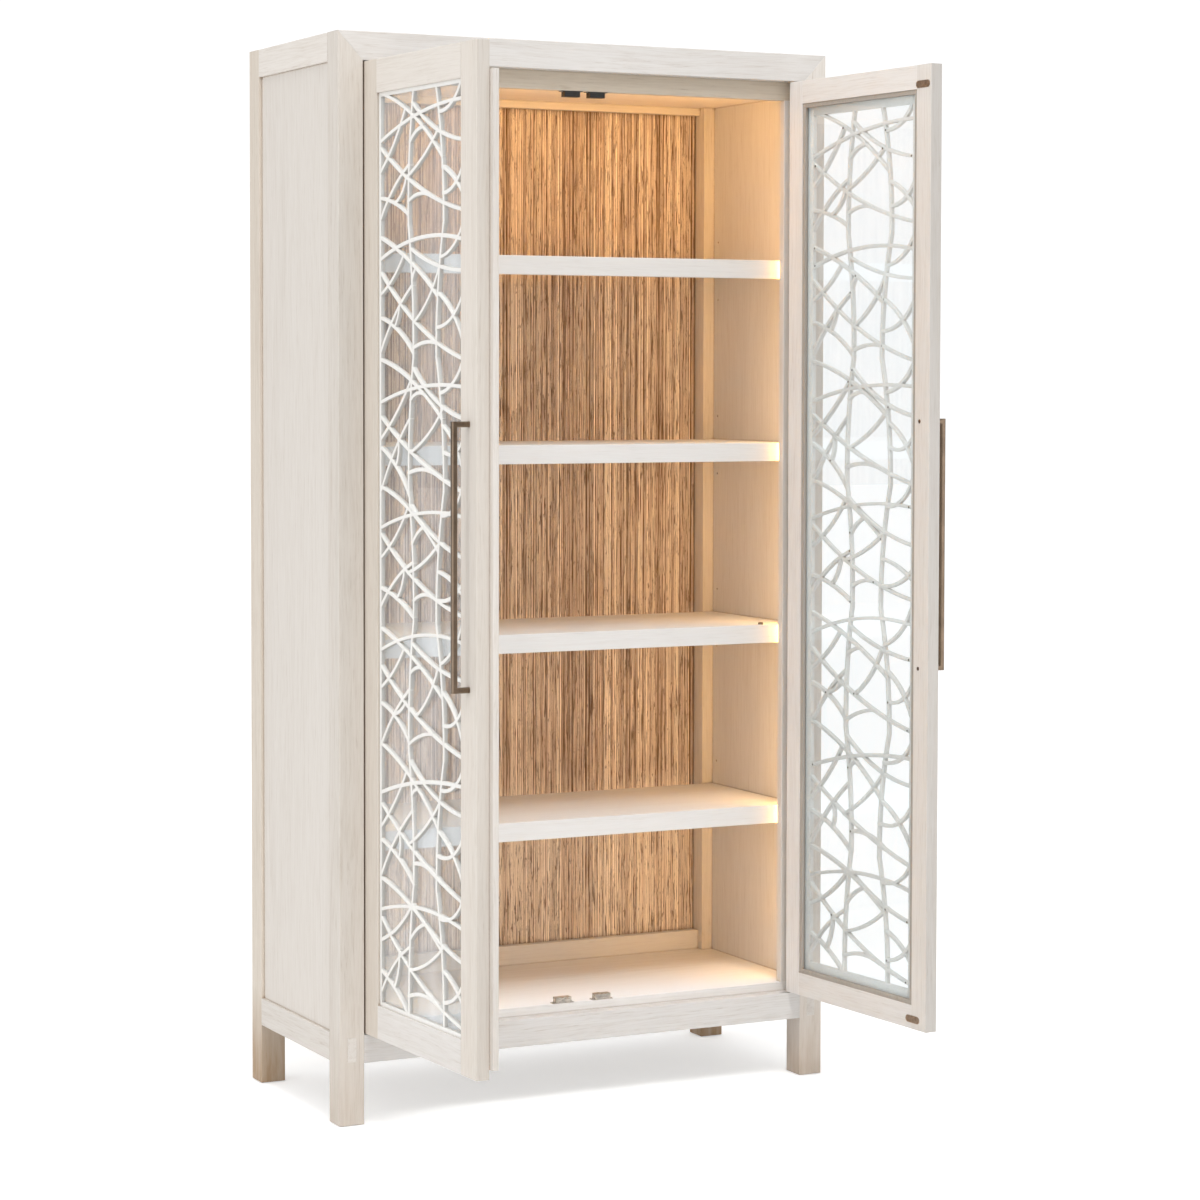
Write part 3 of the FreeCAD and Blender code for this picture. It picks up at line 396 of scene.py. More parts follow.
def oak_material(
    name, way, offset, tint=1.0, warmth=0.0, fibre=1.0, foot=0.0, crevice=1.0, bleach=0.0, front=1.0
):
    """White-washed oak whose grain runs one way, with painted highlights on its rounded edges, painted
    shade in its crevices and painted shadow in its narrow gaps. If told, it darkens towards the floor,
    partly a thinner wash and partly painted shade, and takes a painted pool of light near the doors.

    The front is how light the face towards -Y is beside the others: painted shade on that face.
    """
    oak = bpy.context.scene.cabinet.oak
    material, graph, shader, _ = new_material(name)
    vector = object_vector(graph, offset, TURN[way])

    def toned(base):
        red, green, blue, _ = base
        return (red * tint, green * tint * (1.0 - 0.4 * warmth), blue * tint * (1.0 - warmth), 1.0)

    grain = graph.add("ShaderNodeGroup", {
        "Vector": vector, "Pale": toned(oak.pale), "Deep": toned(oak.deep),
        "Fibre": oak.fibre * fibre, "Figure": oak.figure * fibre, "Pores": oak.pores * fibre,
    }, node_tree=oak_group())
    edge = eased(graph, vector, oak.edge_width)
    # Painted highlight along the rounded edges, in the edge colour.
    tone = graph.mix(graph.times(edge.outputs["Mask"], 0.75), grain.outputs["Color"], toned(oak.edge))
    # Darker towards the floor: partly a thinner wash, partly painted shade.
    if foot:
        height = graph.along("Z", object_vector(graph))
        patchy = graph.ramp(graph.streaks(vector, 60.0, 9.0), 0.3, 0.7, 0.6, 1.0)
        tone = graph.mix(graph.times(graph.ramp(height, 0.20, 0.02, 0.0, foot), patchy), tone, oak.foot)
    # Painted shade on the faces towards -Y.
    if front < 1.0:
        painted_end_shade = graph.ramp(graph.along("Y", object_normal(graph)), -0.6, -0.9, 0.0, 1.0 - front)
        tone = graph.mix(painted_end_shade, tone, BLACK)
    # Painted light: a pool of front light on the upward faces near the doors.
    if bleach:
        near = graph.ramp(graph.along("Y", object_vector(graph)), 0.30, 0.06, 0.0, bleach)
        upward = graph.ramp(graph.along("Z", object_normal(graph)), 0.4, 0.8)
        tone = graph.mix(graph.times(near, upward), tone, oak.bleach)
    # Painted shade: corners and recesses are darkened towards the crevice colour, and narrow gaps nearly to
    # black as painted shadow.
    open_air = graph.open_air(oak.crevice_width)
    tone = graph.mix(graph.ramp(open_air, 0.74, 0.40, 0.0, oak.crevice * crevice), tone, oak.tan)
    tone = graph.mix(graph.ramp(open_air, 0.24, 0.10, 0.0, 0.9), tone, oak.gap)
    graph.feed(shader, {
        "Base Color": tone,
        "Roughness": grain.outputs["Roughness"],
        "Specular IOR Level": 0.3,
        "Normal": graph.bump(grain.outputs["Height"], 0.35, 0.0003, edge.outputs["Normal"]),
    })
    return material


# Modelling tools.


def fresh():
    """Leaves edit mode and selects nothing."""
    if bpy.context.object is not None and bpy.context.object.mode != "OBJECT":
        bpy.ops.object.mode_set(mode="OBJECT")
    bpy.ops.object.select_all(action="DESELECT")


def only(obj):
    """Selects one object and makes it active."""
    fresh()
    obj.select_set(True)
    bpy.context.view_layer.objects.active = obj


def settle(obj):
    """Puts an object's place, turn and size into its mesh."""
    only(obj)
    bpy.ops.object.transform_apply(location=True, rotation=True, scale=True)


def merge(pieces, name):
    """Joins objects into one with its place in its mesh."""
    fresh()
    for piece in pieces:
        piece.select_set(True)
    bpy.context.view_layer.objects.active = pieces[0]
    bpy.ops.object.join()
    whole = bpy.context.object
    whole.name = whole.data.name = name
    settle(whole)
    return whole


def twin(obj, name):
    """A copy with its own mesh."""
    copy = obj.copy()
    copy.data = obj.data.copy()
    copy.name = copy.data.name = name
    bpy.context.scene.collection.objects.link(copy)
    return copy


def block(low, high):
    """A box between two corners."""
    fresh()
    bpy.ops.mesh.primitive_cube_add(size=1.0)
    box = bpy.context.object
    box.scale = high - low
    box.location = (low + high) / 2
    return box


def edit(obj):
    """Opens a mesh for editing with all of it selected."""
    only(obj)
    bpy.ops.object.mode_set(mode="EDIT")
    bpy.ops.mesh.select_all(action="SELECT")


def outward(obj):
    """Turns every face of a closed piece outwards."""
    edit(obj)
    bpy.ops.mesh.normals_make_consistent(inside=False)
    bpy.ops.object.mode_set(mode="OBJECT")


def smooth(obj, degrees=35.0):
    """Smooth shading but for the edges that turn more than an angle."""
    only(obj)
    bpy.ops.object.shade_smooth_by_angle(angle=math.radians(degrees))


def soft_lamp(name, place, target, size, power, tone):
    """A rectangular lamp that faces a point and that the camera doesn't see."""
    lamp = bpy.data.lights.new(name, "AREA")
    lamp.shape = "RECTANGLE"
    lamp.size, lamp.size_y = size
    lamp.energy = power
    lamp.color = tone
    stand = bpy.data.objects.new(name, lamp)
    bpy.context.scene.collection.objects.link(stand)
    stand.location = place
    stand.rotation_euler = (Vector(target) - Vector(place)).to_track_quat("-Z", "Y").to_euler()
    stand.visible_camera = False
    return stand


# Oak.


# How light and how warm each piece is made: partly its own wash, partly painted light and shade for how the
# lamps fall on it, such as on the warm-lit ceiling board and the shaded stop rail and glazing beads.
WASH_AND_LIGHT = {
    "front_post_left": (0.97, 0.03),
    "side_rail_top_left": (1.10, 0.0),
    "side_panel_left": (1.02, 0.01),
    "front_post_right": (1.09, 0.01),
    "bottom_board": (1.10, -0.05),
    "front_rail_top": (1.03, -0.05),
    "front_rail_bottom": (0.93, -0.06),
    "top_stop_rail": (0.90, 0.20),
    "rear_post_left": (1.0, 0.10),
    "rear_post_right": (1.0, 0.10),
    "rear_rail_top": (0.97, 0.10),
    "side_panel_right": (0.95, -0.02),
    "ceiling_board": (1.22, 0.08),
    "left_door_hinge_stile": (0.95, 0.08),
    "left_door_free_stile": (1.02, 0.04),
    "left_door_top_rail": (1.05, 0.02),
    "left_door_bottom_rail": (1.05, -0.05),
    "left_door_glazing_beads": (0.72, 0.10),
    "right_door_hinge_stile": (1.12, -0.07),
    "right_door_free_stile": (1.04, -0.01),
    "right_door_top_rail": (1.12, -0.04),
    "right_door_bottom_rail": (1.08, -0.05),
    "right_door_glazing_beads": (0.60, 0.08),
    "shelf_1": (1.10, -0.06),
    "shelf_2": (1.11, -0.06),
    "shelf_3": (1.13, -0.06),
    "shelf_4": (1.09, -0.04),
}


# How light the free stile's end face is beside its other faces: painted shade on the end face.
END_FACE_SHADE = {"left_door": 0.89, "right_door": 0.81}
# How strongly a post darkens towards the floor: partly a thinner, worn wash and partly painted shade, most
# on the rear posts.
WORN_SHADED_FEET = {
    "rear_post_left": 0.95, "rear_post_right": 0.95, "front_post_left": 0.25, "front_post_right": 0.55,
}


class CABINET_OT_oak(bpy.types.Operator):
    """Gives every oak piece its grain, running along the piece"""

    bl_idname = "cabinet.oak"
    bl_label = "Oak frame and panels"

    def execute(self, context):
        rng = random.Random(4)

        def dress_oak(node, way, fibre=1.0, **marks):
            offset = tuple(rng.uniform(-9.0, 9.0) for _ in range(3))
            wash = WASH_AND_LIGHT.get(node, (1.0, 0.0))
            dress(node, oak_material("oak_" + node, way, offset, *wash, fibre, **marks))

        for node in UPRIGHT:
            dress_oak(node, "up", foot=WORN_SHADED_FEET.get(node, 0.0))
        for node in ACROSS:
            fibre = 0.5 if "rear" in node else 1.0
            dress_oak(node, "across", fibre, crevice=0.1 if "front" in node else 1.0)
        for node in INWARD:
            dress_oak(node, "inward")
        for node in ("side_panel_left", "side_panel_right"):
            dress_oak(node, "up", 0.7, crevice=1.3)
        for node in ("bottom_board", "ceiling_board", "top_panel"):
            dress_oak(node, "across", 0.7, bleach=0.95 if node == "bottom_board" else 0.0)
        for door in DOORS:
            dress_oak(door + "_hinge_stile", door + "_up", 0.8)
            dress_oak(door + "_free_stile", door + "_up", 0.8, front=END_FACE_SHADE[door])
            dress_oak(door + "_top_rail", door + "_across", 0.8)
            dress_oak(door + "_bottom_rail", door + "_across", 0.8)
            dress_oak(door + "_glazing_beads", door + "_up")
        dress_oak("left_door_astragal", "left_door_up")
        return {"FINISHED"}


class CABINET_OT_shelves(bpy.types.Operator):
    """Gives the four shelves a paler tone, partly their own wash and partly painted light"""

    bl_idname = "cabinet.shelves"
    bl_label = "Shelves"

    def execute(self, context):
        rng = random.Random(8)
        for number in range(1, 5):
            node = "shelf_%d" % number
            offset = tuple(rng.uniform(-9.0, 9.0) for _ in range(3))
            dress(node, oak_material("oak_" + node, "across", offset, *WASH_AND_LIGHT[node], 0.4))
        return {"FINISHED"}


# Reed back.


def reed_material():
    """Dry reeds: each has its own tone, with fine lines and darker knots along it, painted light in the
    bottom bay and painted shade in the corners.
    """
    reed = bpy.context.scene.cabinet.reed
    material, graph, shader, _ = new_material("reed")
    vector = object_vector(graph)
    tone = graph.add("ShaderNodeAttribute", attribute_name="tone").outputs["Fac"]
    fine = graph.streaks(vector, 620.0, 11.0)
    cracks = graph.streaks(vector, 330.0, 14.0, 4.0, 0.65, 0.6)
    knots = graph.streaks(vector, 300.0, 60.0)
    weather = graph.streaks(vector, 26.0, 1.6)
    drift = graph.times(graph.math("SUBTRACT", weather, 0.5), 0.7)
    lift = graph.ramp(fine, 0.32, 0.68, -0.30, 0.30)
    # Painted light: the reeds in the bottom bay are made lighter, as if more light reaches them.
    low_bay_light = graph.ramp(graph.along("Z", vector), 0.62, 0.50, -0.03, 0.28)
    place = graph.math("ADD", graph.math("ADD", tone, drift), graph.math("ADD", lift, low_bay_light))
    palette = graph.add("ShaderNodeValToRGB", {"Fac": place})
    ramp = palette.color_ramp
    ramp.elements[0].color = reed.dark
    ramp.elements[1].position = 0.85
    ramp.elements[1].color = reed.light
    ramp.elements.new(0.42).color = reed.middle
    shade = graph.mix(graph.ramp(cracks, 0.55, 0.60, 0.0, 0.85), palette.outputs["Color"], reed.dark)
    shade = graph.mix(graph.ramp(knots, 0.63, 0.70, 0.0, 0.8), shade, reed.dark)
    # Painted shade: the reeds darken in corners and under the rails.
    shade = graph.mix(graph.ramp(graph.open_air(0.012), 0.62, 0.30, 0.0, 0.8), shade, reed.dark)
    graph.feed(shader, {
        "Base Color": shade,
        "Roughness": graph.ramp(fine, 0.3, 0.7, 0.55, 0.8),
        "Specular IOR Level": 0.25,
        "Normal": graph.bump(fine, 0.5, 0.0004),
    })
    return material


# Rows of faces along a reed, and the share of its depth that is its flank, which is darkened as painted
# shade.
REED_ROWS = 9
REED_FLANK = 0.16
# How far the first reed stands in, and how much wider than its place each reed is.
REED_MARGIN = 0.5 * MM
REED_OVERLAP = 1.06
# The middle and the spread of the reeds' tones, and how much darker a flank may be as painted shade.
REED_TONES = (0.60, 0.27)
FLANK_SHADES = (0.15, 0.6, 1.1)
# The length of the reeds' waves, how far they sway sideways, and how far the mat swells forwards.
REED_WAVE = 0.22
REED_BENDS = (("wander", "X", 2.2 * MM), ("swell", "Y", 0.7 * MM))


def one_reed():
    """A half-round reed, one metre wide, deep and tall, that faces -Y."""
    bpy.ops.mesh.primitive_cylinder_add(vertices=8, radius=0.5, depth=1.0, end_fill_type="NOTHING")
    reed = bpy.context.object
    edit(reed)
    bpy.ops.mesh.bisect(plane_co=(0.0, 0.0, 0.0), plane_no=(0.0, 1.0, 0.0), clear_outer=True)
    cuts = [((0.0, -REED_FLANK, 0.0), (0.0, 1.0, 0.0))]
    cuts += [((0.0, 0.0, row / REED_ROWS - 0.5), (0.0, 0.0, 1.0)) for row in range(1, REED_ROWS)]
    for place, normal in cuts:
        bpy.ops.mesh.select_all(action="SELECT")
        bpy.ops.mesh.bisect(plane_co=place, plane_no=normal)
    bpy.ops.object.mode_set(mode="OBJECT")
    return reed


def set_tones(obj, tones):
    """Gives each corner of a mesh its tone."""
    obj.data.attributes.new("tone", "FLOAT", "POINT").data.foreach_set("value", tones)


def lay_reed(pattern, x, width, low, high, rng):
    """One reed from x on in the panel's box, with its own tone and painted shade on its flanks."""
    reed = bpy.context.scene.cabinet.reed
    tall = high.z - low.z
    piece = twin(pattern, "reed")
    stand = reed.height * rng.uniform(0.65, 1.0)
    piece.scale = (width * REED_OVERLAP, stand * 2.0, tall)
    piece.location = (x + width / 2, high.y - reed.backing, low.z + tall / 2)
    tone = min(1.0, max(0.1, rng.gauss(*REED_TONES)))
    gap = rng.choice(FLANK_SHADES)
    # Painted shade: the reed's flanks are darker.
    on_flank = [vertex.co.y > -REED_FLANK / 2 for vertex in piece.data.vertices]
    set_tones(piece, [tone - gap if flank else tone for flank in on_flank])
    return piece


def ripple(mat):
    """Lets the reeds sway and the mat swell a little."""
    wave = bpy.data.textures.new("reed_wave", "CLOUDS")
    wave.noise_scale = REED_WAVE
    only(mat)
    for name, way, amount in REED_BENDS:
        bend = mat.modifiers.new(name, "DISPLACE")
        bend.texture = wave
        bend.direction = way
        bend.strength = amount
        bpy.ops.object.modifier_apply(modifier=bend.name)


class CABINET_OT_reeds(bpy.types.Operator):
    """Lays the reed mat: upright reeds of many widths and tones, with painted shade on their flanks, on a
    backing that is dark as painted shade between them
    """

    bl_idname = "cabinet.reeds"
    bl_label = "Reed back"

    def execute(self, context):
        reed = context.scene.cabinet.reed
        rng = random.Random(reed.seed)
        low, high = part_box("reed_panel")
        fresh()
        pattern = one_reed()
        laid = []
        x = low.x + REED_MARGIN
        while x < high.x - reed.narrow:
            width = min(reed.narrow + (reed.wide - reed.narrow) * rng.random() ** 2.2, high.x - x)
            laid.append(lay_reed(pattern, x, width, low, high, rng))
            x += width
        bpy.data.objects.remove(pattern)
        backing = block(Vector((low.x, high.y - reed.backing, low.z)), high)
        # The backing takes the darkest tone, as painted shade between the reeds.
        set_tones(backing, [0.0] * len(backing.data.vertices))
        mat = merge([backing] + laid, "reed_mat")
        ripple(mat)
        smooth(mat, 50.0)
        mat.data.materials.append(reed_material())
        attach(mat, "cabinet")
        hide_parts("reed_panel")
        dress("back_board", oak_material("back_board", "up", (3.0, 1.0, 2.0), 0.75, 0.2))
        return {"FINISHED"}


# Doors: lattice and glass.


# One bay of the lattice. A stem wanders up the bay: its place across, its lean and its bow, as shares
# of the window's width. A branch runs from a side of the window or an earlier branch to another, and
# bows aside by a share of its length.
BAYS = 7
STEMS = [(0.38, 0.03, -0.02), (0.74, -0.045, 0.025)]
BRANCHES = [
    ("left", 0.97, 1, 0.50, 0.05),
    ("left", 0.60, "right", 0.04, -0.05),
    ("left", 0.28, 0, 0.02, 0.06),
    (0, 0.88, "right", 0.58, -0.06),
    ("left", 0.04, 0, 0.50, 0.05),
    (3, 0.40, 5, 0.60, -0.06),
    (0, 0.62, 2, 0.66, 0.09),
    (1, 0.76, "right", 0.99, -0.12),
    ("left", 0.70, "right", 0.84, 0.05),
    (1, 0.24, "right", 0.38, -0.13),
    (0, 0.12, 3, 0.70, 0.08),
    ("left", 0.44, 2, 0.42, -0.05),
    (1, 0.46, "right", 0.20, 0.07),
    (4, 0.45, 3, 0.28, -0.10),
]
# How far a branch's ends wander, as a share of the bay's height, and where the window's sides are.
SWAY = 0.06
ENDS = {"left": 0.0, "right": 1.0}
# Length of a branch between two bends.
BEND_STEP = 16.0 * MM
# The strips round the branches: their width, how far they stay inside the lattice's depth, and their edges.
STRIP = 25.5 * MM
STRIP_PLAY = Vector((0.0, 0.1 * MM, 0.0))
STRIP_EDGE = 0.8 * MM
# A brad's depth, how far it stays in front of the strips' back and from the strips, and its place along a
# branch.
BRAD_DEPTH = 2.0 * MM
BRAD_SINK = 0.1 * MM
BRAD_MARGIN = 4.0 * MM
BRAD_SHARES = (0.02, 0.98)


class Bow:
    """A circular arc in the lattice's plane, through a start, a middle and an end."""

    def __init__(self, start, middle, end):
        ax, az = start
        bx, bz = middle
        cx, cz = end
        twice = 2 * (ax * (bz - cz) + bx * (cz - az) + cx * (az - bz))
        a2, b2, c2 = ax * ax + az * az, bx * bx + bz * bz, cx * cx + cz * cz
        self.centre = (
            (a2 * (bz - cz) + b2 * (cz - az) + c2 * (az - bz)) / twice,
            (a2 * (cx - bx) + b2 * (ax - cx) + c2 * (bx - ax)) / twice,
        )
        self.radius = math.dist(self.centre, start)
        self.first = math.atan2(az - self.centre[1], ax - self.centre[0])
        last = math.atan2(cz - self.centre[1], cx - self.centre[0])
        self.sweep = (last - self.first + math.pi) % (2 * math.pi) - math.pi

    def at(self, part):
        """The point at a share of the arc."""
        angle = self.first + self.sweep * part
        x, z = self.centre
        return (x + self.radius * math.cos(angle), z + self.radius * math.sin(angle))


def bay_bows(bay, x_low, x_high, z_low, tall):
    """The centre lines of one bay: two stems, then the branches."""
    wide = x_high - x_low
    turn = 1 if bay % 2 == 0 else -1

    def place(across, up):
        return (x_low + wide * across, z_low + tall * up)

    bows = []
    for across, lean, bow in STEMS:
        bows.append(Bow(place(across - turn * lean, 0.0), place(across + turn * bow, 0.5),
                        place(across + turn * lean, 1.0)))

    def end_point(carrier, up):
        return place(ENDS[carrier], up) if carrier in ENDS else bows[carrier].at(up)

    for index, (start_on, start_up, end_on, end_up, bow) in enumerate(BRANCHES):
        start_sway = SWAY * math.sin(1.9 * index + 2.3 * bay)
        end_sway = SWAY * math.sin(1.1 * index + 1.7 * bay + 2)
        start = end_point(start_on, start_up + start_sway)
        end = end_point(end_on, end_up + end_sway)
        bow *= 1 + 4 * start_sway
        run = (end[0] - start[0], end[1] - start[1])
        middle = ((start[0] + end[0]) / 2 - run[1] * bow, (start[1] + end[1]) / 2 + run[0] * bow)
        bows.append(Bow(start, middle, end))
    return bows


def branch(bow, y_front, rng):
    """One bent strip with softened edges, modelled by turning its section about the bow's centre."""
    lattice = bpy.context.scene.cabinet.lattice
    depth = lattice.depth + rng.uniform(-0.5, 0.2) * MM
    width = lattice.width * rng.uniform(0.92, 1.08)
    y_middle = y_front + depth / 2 + rng.uniform(0.0, 0.35) * MM
    bpy.ops.mesh.primitive_plane_add(size=1.0)
    strip = bpy.context.object
    strip.scale = (width, depth, 1.0)
    strip.location = (bow.radius, 0.0, 0.0)
    settle(strip)
    extra = lattice.tuck / bow.radius * (1 if bow.sweep > 0 else -1)
    sweep = bow.sweep + 2 * extra
    steps = max(4, min(18, round(abs(sweep) * bow.radius / BEND_STEP)))
    edit(strip)
    bpy.ops.mesh.bevel(offset=lattice.edge, segments=2, affect="VERTICES")
    bpy.ops.mesh.select_all(action="SELECT")
    bpy.ops.mesh.spin(steps=steps, angle=sweep, center=(0.0, 0.0, 0.0), axis=(0.0, 1.0, 0.0))
    bpy.ops.object.mode_set(mode="OBJECT")
    strip.rotation_euler = (0.0, -(bow.first - extra), 0.0)
    strip.location = (bow.centre[0], y_middle, bow.centre[1])
    return strip


def straight(low, high):
    """One straight strip with eased edges, between two corners of the frame round the branches."""
    strip = block(low + STRIP_PLAY, high - STRIP_PLAY)
    settle(strip)
    edit(strip)
    bpy.ops.mesh.bevel(offset=STRIP_EDGE, segments=2, affect="EDGES")
    bpy.ops.object.mode_set(mode="OBJECT")
    return strip


def brad(x, y_back, z):
    """One brad on the glass side."""
    bpy.ops.mesh.primitive_cylinder_add(
        vertices=12, radius=bpy.context.scene.cabinet.lattice.brad, depth=BRAD_DEPTH,
        location=(x, y_back - BRAD_SINK - BRAD_DEPTH / 2, z), rotation=(math.pi / 2, 0.0, 0.0),
    )
    return bpy.context.object


def lattice_material(door):
    """White lacquer with a soft sheen, faint brush marks and faint mottling, with painted shade in the
    corners and on the sides that face down and towards -Y.
    """
    lattice = bpy.context.scene.cabinet.lattice
    material, graph, shader, _ = new_material(door + "_lacquer")
    vector = object_vector(graph)
    mottle = graph.noise(vector, 90.0)
    brush = graph.streaks(vector, 800.0, 160.0)
    # Painted shade in the corners, and on the sides that face down and towards -Y, stronger on the left
    # door.
    corner = graph.ramp(graph.open_air(0.006, 6, door == "right_door"), 0.35, 0.9, 0.6, 0.0)
    lower = graph.vectors("DOT_PRODUCT", object_normal(graph), (0.0, -0.75, -0.65))
    side_shade = 0.75 if door == "left_door" else 0.25
    tone = graph.mix(graph.ramp(mottle, 0.35, 0.75, 0.0, 0.10), lattice.lacquer, lattice.dust_and_shade)
    tone = graph.mix(graph.ramp(lower, 0.25, 0.85, 0.0, side_shade), tone, lattice.dust_and_shade)
    graph.feed(shader, {
        "Base Color": graph.mix(corner, tone, lattice.dust_and_shade),
        "Roughness": graph.ramp(mottle, 0.3, 0.7, 0.34, 0.48),
        "Normal": graph.bump(brush, 0.2, 0.0002),
    })
    return material


def brad_material():
    """Dull brown brads."""
    material, graph, shader, _ = new_material("brad")
    rust = graph.noise(object_vector(graph), 900.0, 2.0)
    graph.feed(shader, {
        "Base Color": graph.mix(
            graph.ramp(rust, 0.35, 0.7), (0.16, 0.14, 0.12, 1.0), (0.08, 0.065, 0.055, 1.0)
        ),
        "Roughness": graph.ramp(rust, 0.3, 0.7, 0.4, 0.65),
    })
    return material


def closed_door_window():
    """The lowest and highest place of the left lattice when its door is closed, measured from its pin."""
    swing_back = Matrix.Rotation(LEFT_OPEN, 4, "Z") @ Matrix.Translation(-LEFT_PIN)
    corners = [swing_back @ vertex.co for vertex in CAD["left_door_lattice"].data.vertices]
    lows = [min(corner[axis] for corner in corners) for axis in range(3)]
    highs = [max(corner[axis] for corner in corners) for axis in range(3)]
    return lows, highs


def swing(obj, door):
    """Carries a piece from its closed place, measured from the left pin, to where the door stands."""
    if door == "left_door":
        obj.matrix_world = Matrix.Translation(LEFT_PIN) @ Matrix.Rotation(-LEFT_OPEN, 4, "Z")
    else:
        flip = Matrix.Scale(-1.0, 4, Vector((1.0, 0.0, 0.0)))
        obj.matrix_world = Matrix.Translation(RIGHT_PIN) @ Matrix.Rotation(RIGHT_OPEN, 4, "Z") @ flip
    settle(obj)
    outward(obj)


class CABINET_OT_lattice(bpy.types.Operator):
    """Models the lattice of bent strips and its frame once, and hangs a copy in each door"""

    bl_idname = "cabinet.lattice"
    bl_label = "Door lattice"

    def execute(self, context):
        lows, highs = closed_door_window()
        x_low, x_high = lows[0] + STRIP, highs[0] - STRIP
        z_low, z_high = lows[2] + STRIP, highs[2] - STRIP
        tall = (z_high - z_low) / BAYS
        y_front, y_back = lows[1], highs[1]
        rng = random.Random(21)
        fresh()
        strips = []
        brad_places = []
        for bay in range(BAYS):
            for index, bow in enumerate(bay_bows(bay, x_low, x_high, z_low + bay * tall, tall)):
                strips.append(branch(bow, y_front, rng))
                if index >= len(STEMS) and (index + bay) % 2:
                    brad_places.append(bow.at(rng.choice(BRAD_SHARES)))
        for left, low, right, high in (
            (lows[0], lows[2], x_low, highs[2]),
            (x_high, lows[2], highs[0], highs[2]),
            (x_low, lows[2], x_high, z_low),
            (x_low, z_high, x_high, highs[2]),
        ):
            strips.append(straight(Vector((left, y_front, low)), Vector((right, y_back, high))))
        pattern = merge(strips, "lattice_pattern")
        fresh()
        brads = []
        for x, z in brad_places:
            if x_low + BRAD_MARGIN < x < x_high - BRAD_MARGIN:
                brads.append(brad(x, y_back, z))
        brad_pattern = merge(brads, "brad_pattern")
        brown = brad_material()
        for door in DOORS:
            net = twin(pattern, door + "_branches")
            swing(net, door)
            smooth(net)
            net.data.materials.append(lattice_material(door))
            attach(net, door)
            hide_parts(door + "_lattice")
            heads = twin(brad_pattern, door + "_brads")
            swing(heads, door)
            smooth(heads)
            heads.data.materials.append(brown)
            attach(heads, door)
        bpy.data.objects.remove(pattern)
        bpy.data.objects.remove(brad_pattern)
        return {"FINISHED"}


def glass_material(door):
    """Clear glass with faint smears. The left pane has a painted reflection where it is seen at a slant: a
    cool glow in soft bands that only the camera sees, and what shows through is darkened there.
    """
    material, graph, shader, output = new_material(door + "_clear_glass")
    vector = object_vector(graph)
    smear = graph.noise(vector, 5.0)
    tint = graph.mix(graph.ramp(smear, 0.3, 0.7), (0.94, 0.965, 0.975, 1.0), (0.91, 0.95, 0.965, 1.0))
    if door == "right_door":
        tint = graph.mix(graph.ramp(graph.along("Z", vector), 1.1, 0.5, 0.0, 0.06), tint, BLACK)
    else:
        # Painted reflection: at a slant the left pane darkens what shows through and glows cool in soft
        # bands for the camera.
        slant = graph.add("ShaderNodeLayerWeight", {"Blend": 0.5}).outputs["Facing"]
        slanted = graph.ramp(slant, 0.50, 0.60)
        tint = graph.mix(slanted, tint, (0.09, 0.15, 0.20, 1.0))
        bands = graph.ramp(graph.streaks(vector, 9.0, 0.9, 2.0, 0.5), 0.35, 0.65, 0.17, 0.45)
        seen = graph.add("ShaderNodeLightPath").outputs["Is Camera Ray"]
        painted_reflection = graph.times(graph.times(slanted, seen), bands)
        graph.feed(shader, {"Emission Color": (0.93, 0.96, 1.0, 1.0), "Emission Strength": painted_reflection})
    graph.feed(shader, {
        "Base Color": tint,
        "Roughness": graph.ramp(smear, 0.3, 0.75, 0.0, 0.02),
        "Transmission Weight": 1.0,
        "IOR": 1.45,
    })
    clear = graph.add("ShaderNodeBsdfTransparent", {"Color": (0.95, 0.97, 0.98, 1.0)})
    shadow = graph.add("ShaderNodeLightPath").outputs["Is Shadow Ray"]
    both = graph.add("ShaderNodeMixShader", {0: shadow, 1: shader.outputs[0], 2: clear.outputs[0]})
    graph.feed(output, {"Surface": both.outputs[0]})
    return material


class CABINET_OT_glass(bpy.types.Operator):
    """Gives both panes clear glass"""

    bl_idname = "cabinet.glass"
    bl_label = "Glass"

    def execute(self, context):
        for door in DOORS:
            dress(door + "_glass", glass_material(door))
        return {"FINISHED"}


# Metal and small parts.


# Each metal's colour, the colour of its rubbed edges, its roughness and how fine its clouds are.
METALS = {
    "antique_bronze": ((0.26, 0.19, 0.135, 1.0), (0.66, 0.54, 0.40, 1.0), 0.30, 30.0),
    "worn_bronze": ((0.46, 0.34, 0.25, 1.0), (0.72, 0.58, 0.44, 1.0), 0.42, 160.0),
    "dark_bronze": ((0.20, 0.14, 0.10, 1.0), (0.42, 0.33, 0.25, 1.0), 0.42, 120.0),
    "switch_bronze": ((0.30, 0.24, 0.19, 1.0), (0.60, 0.52, 0.44, 1.0), 0.35, 120.0),
    "nickel": ((0.62, 0.57, 0.50, 1.0), (0.80, 0.77, 0.72, 1.0), 0.28, 90.0),
    "steel_pin": ((0.55, 0.54, 0.52, 1.0), (0.75, 0.75, 0.74, 1.0), 0.30, 90.0),
    "aluminium_channel": ((0.72, 0.70, 0.67, 1.0), (0.82, 0.81, 0.80, 1.0), 0.35, 60.0),
    "black_catch": ((0.030, 0.028, 0.026, 1.0), (0.09, 0.085, 0.08, 1.0), 0.45, 90.0),
    "glide_plastic": ((0.30, 0.20, 0.12, 1.0), (0.36, 0.25, 0.16, 1.0), 0.55, 120.0),
}
PLASTIC = ("black_catch", "glide_plastic")
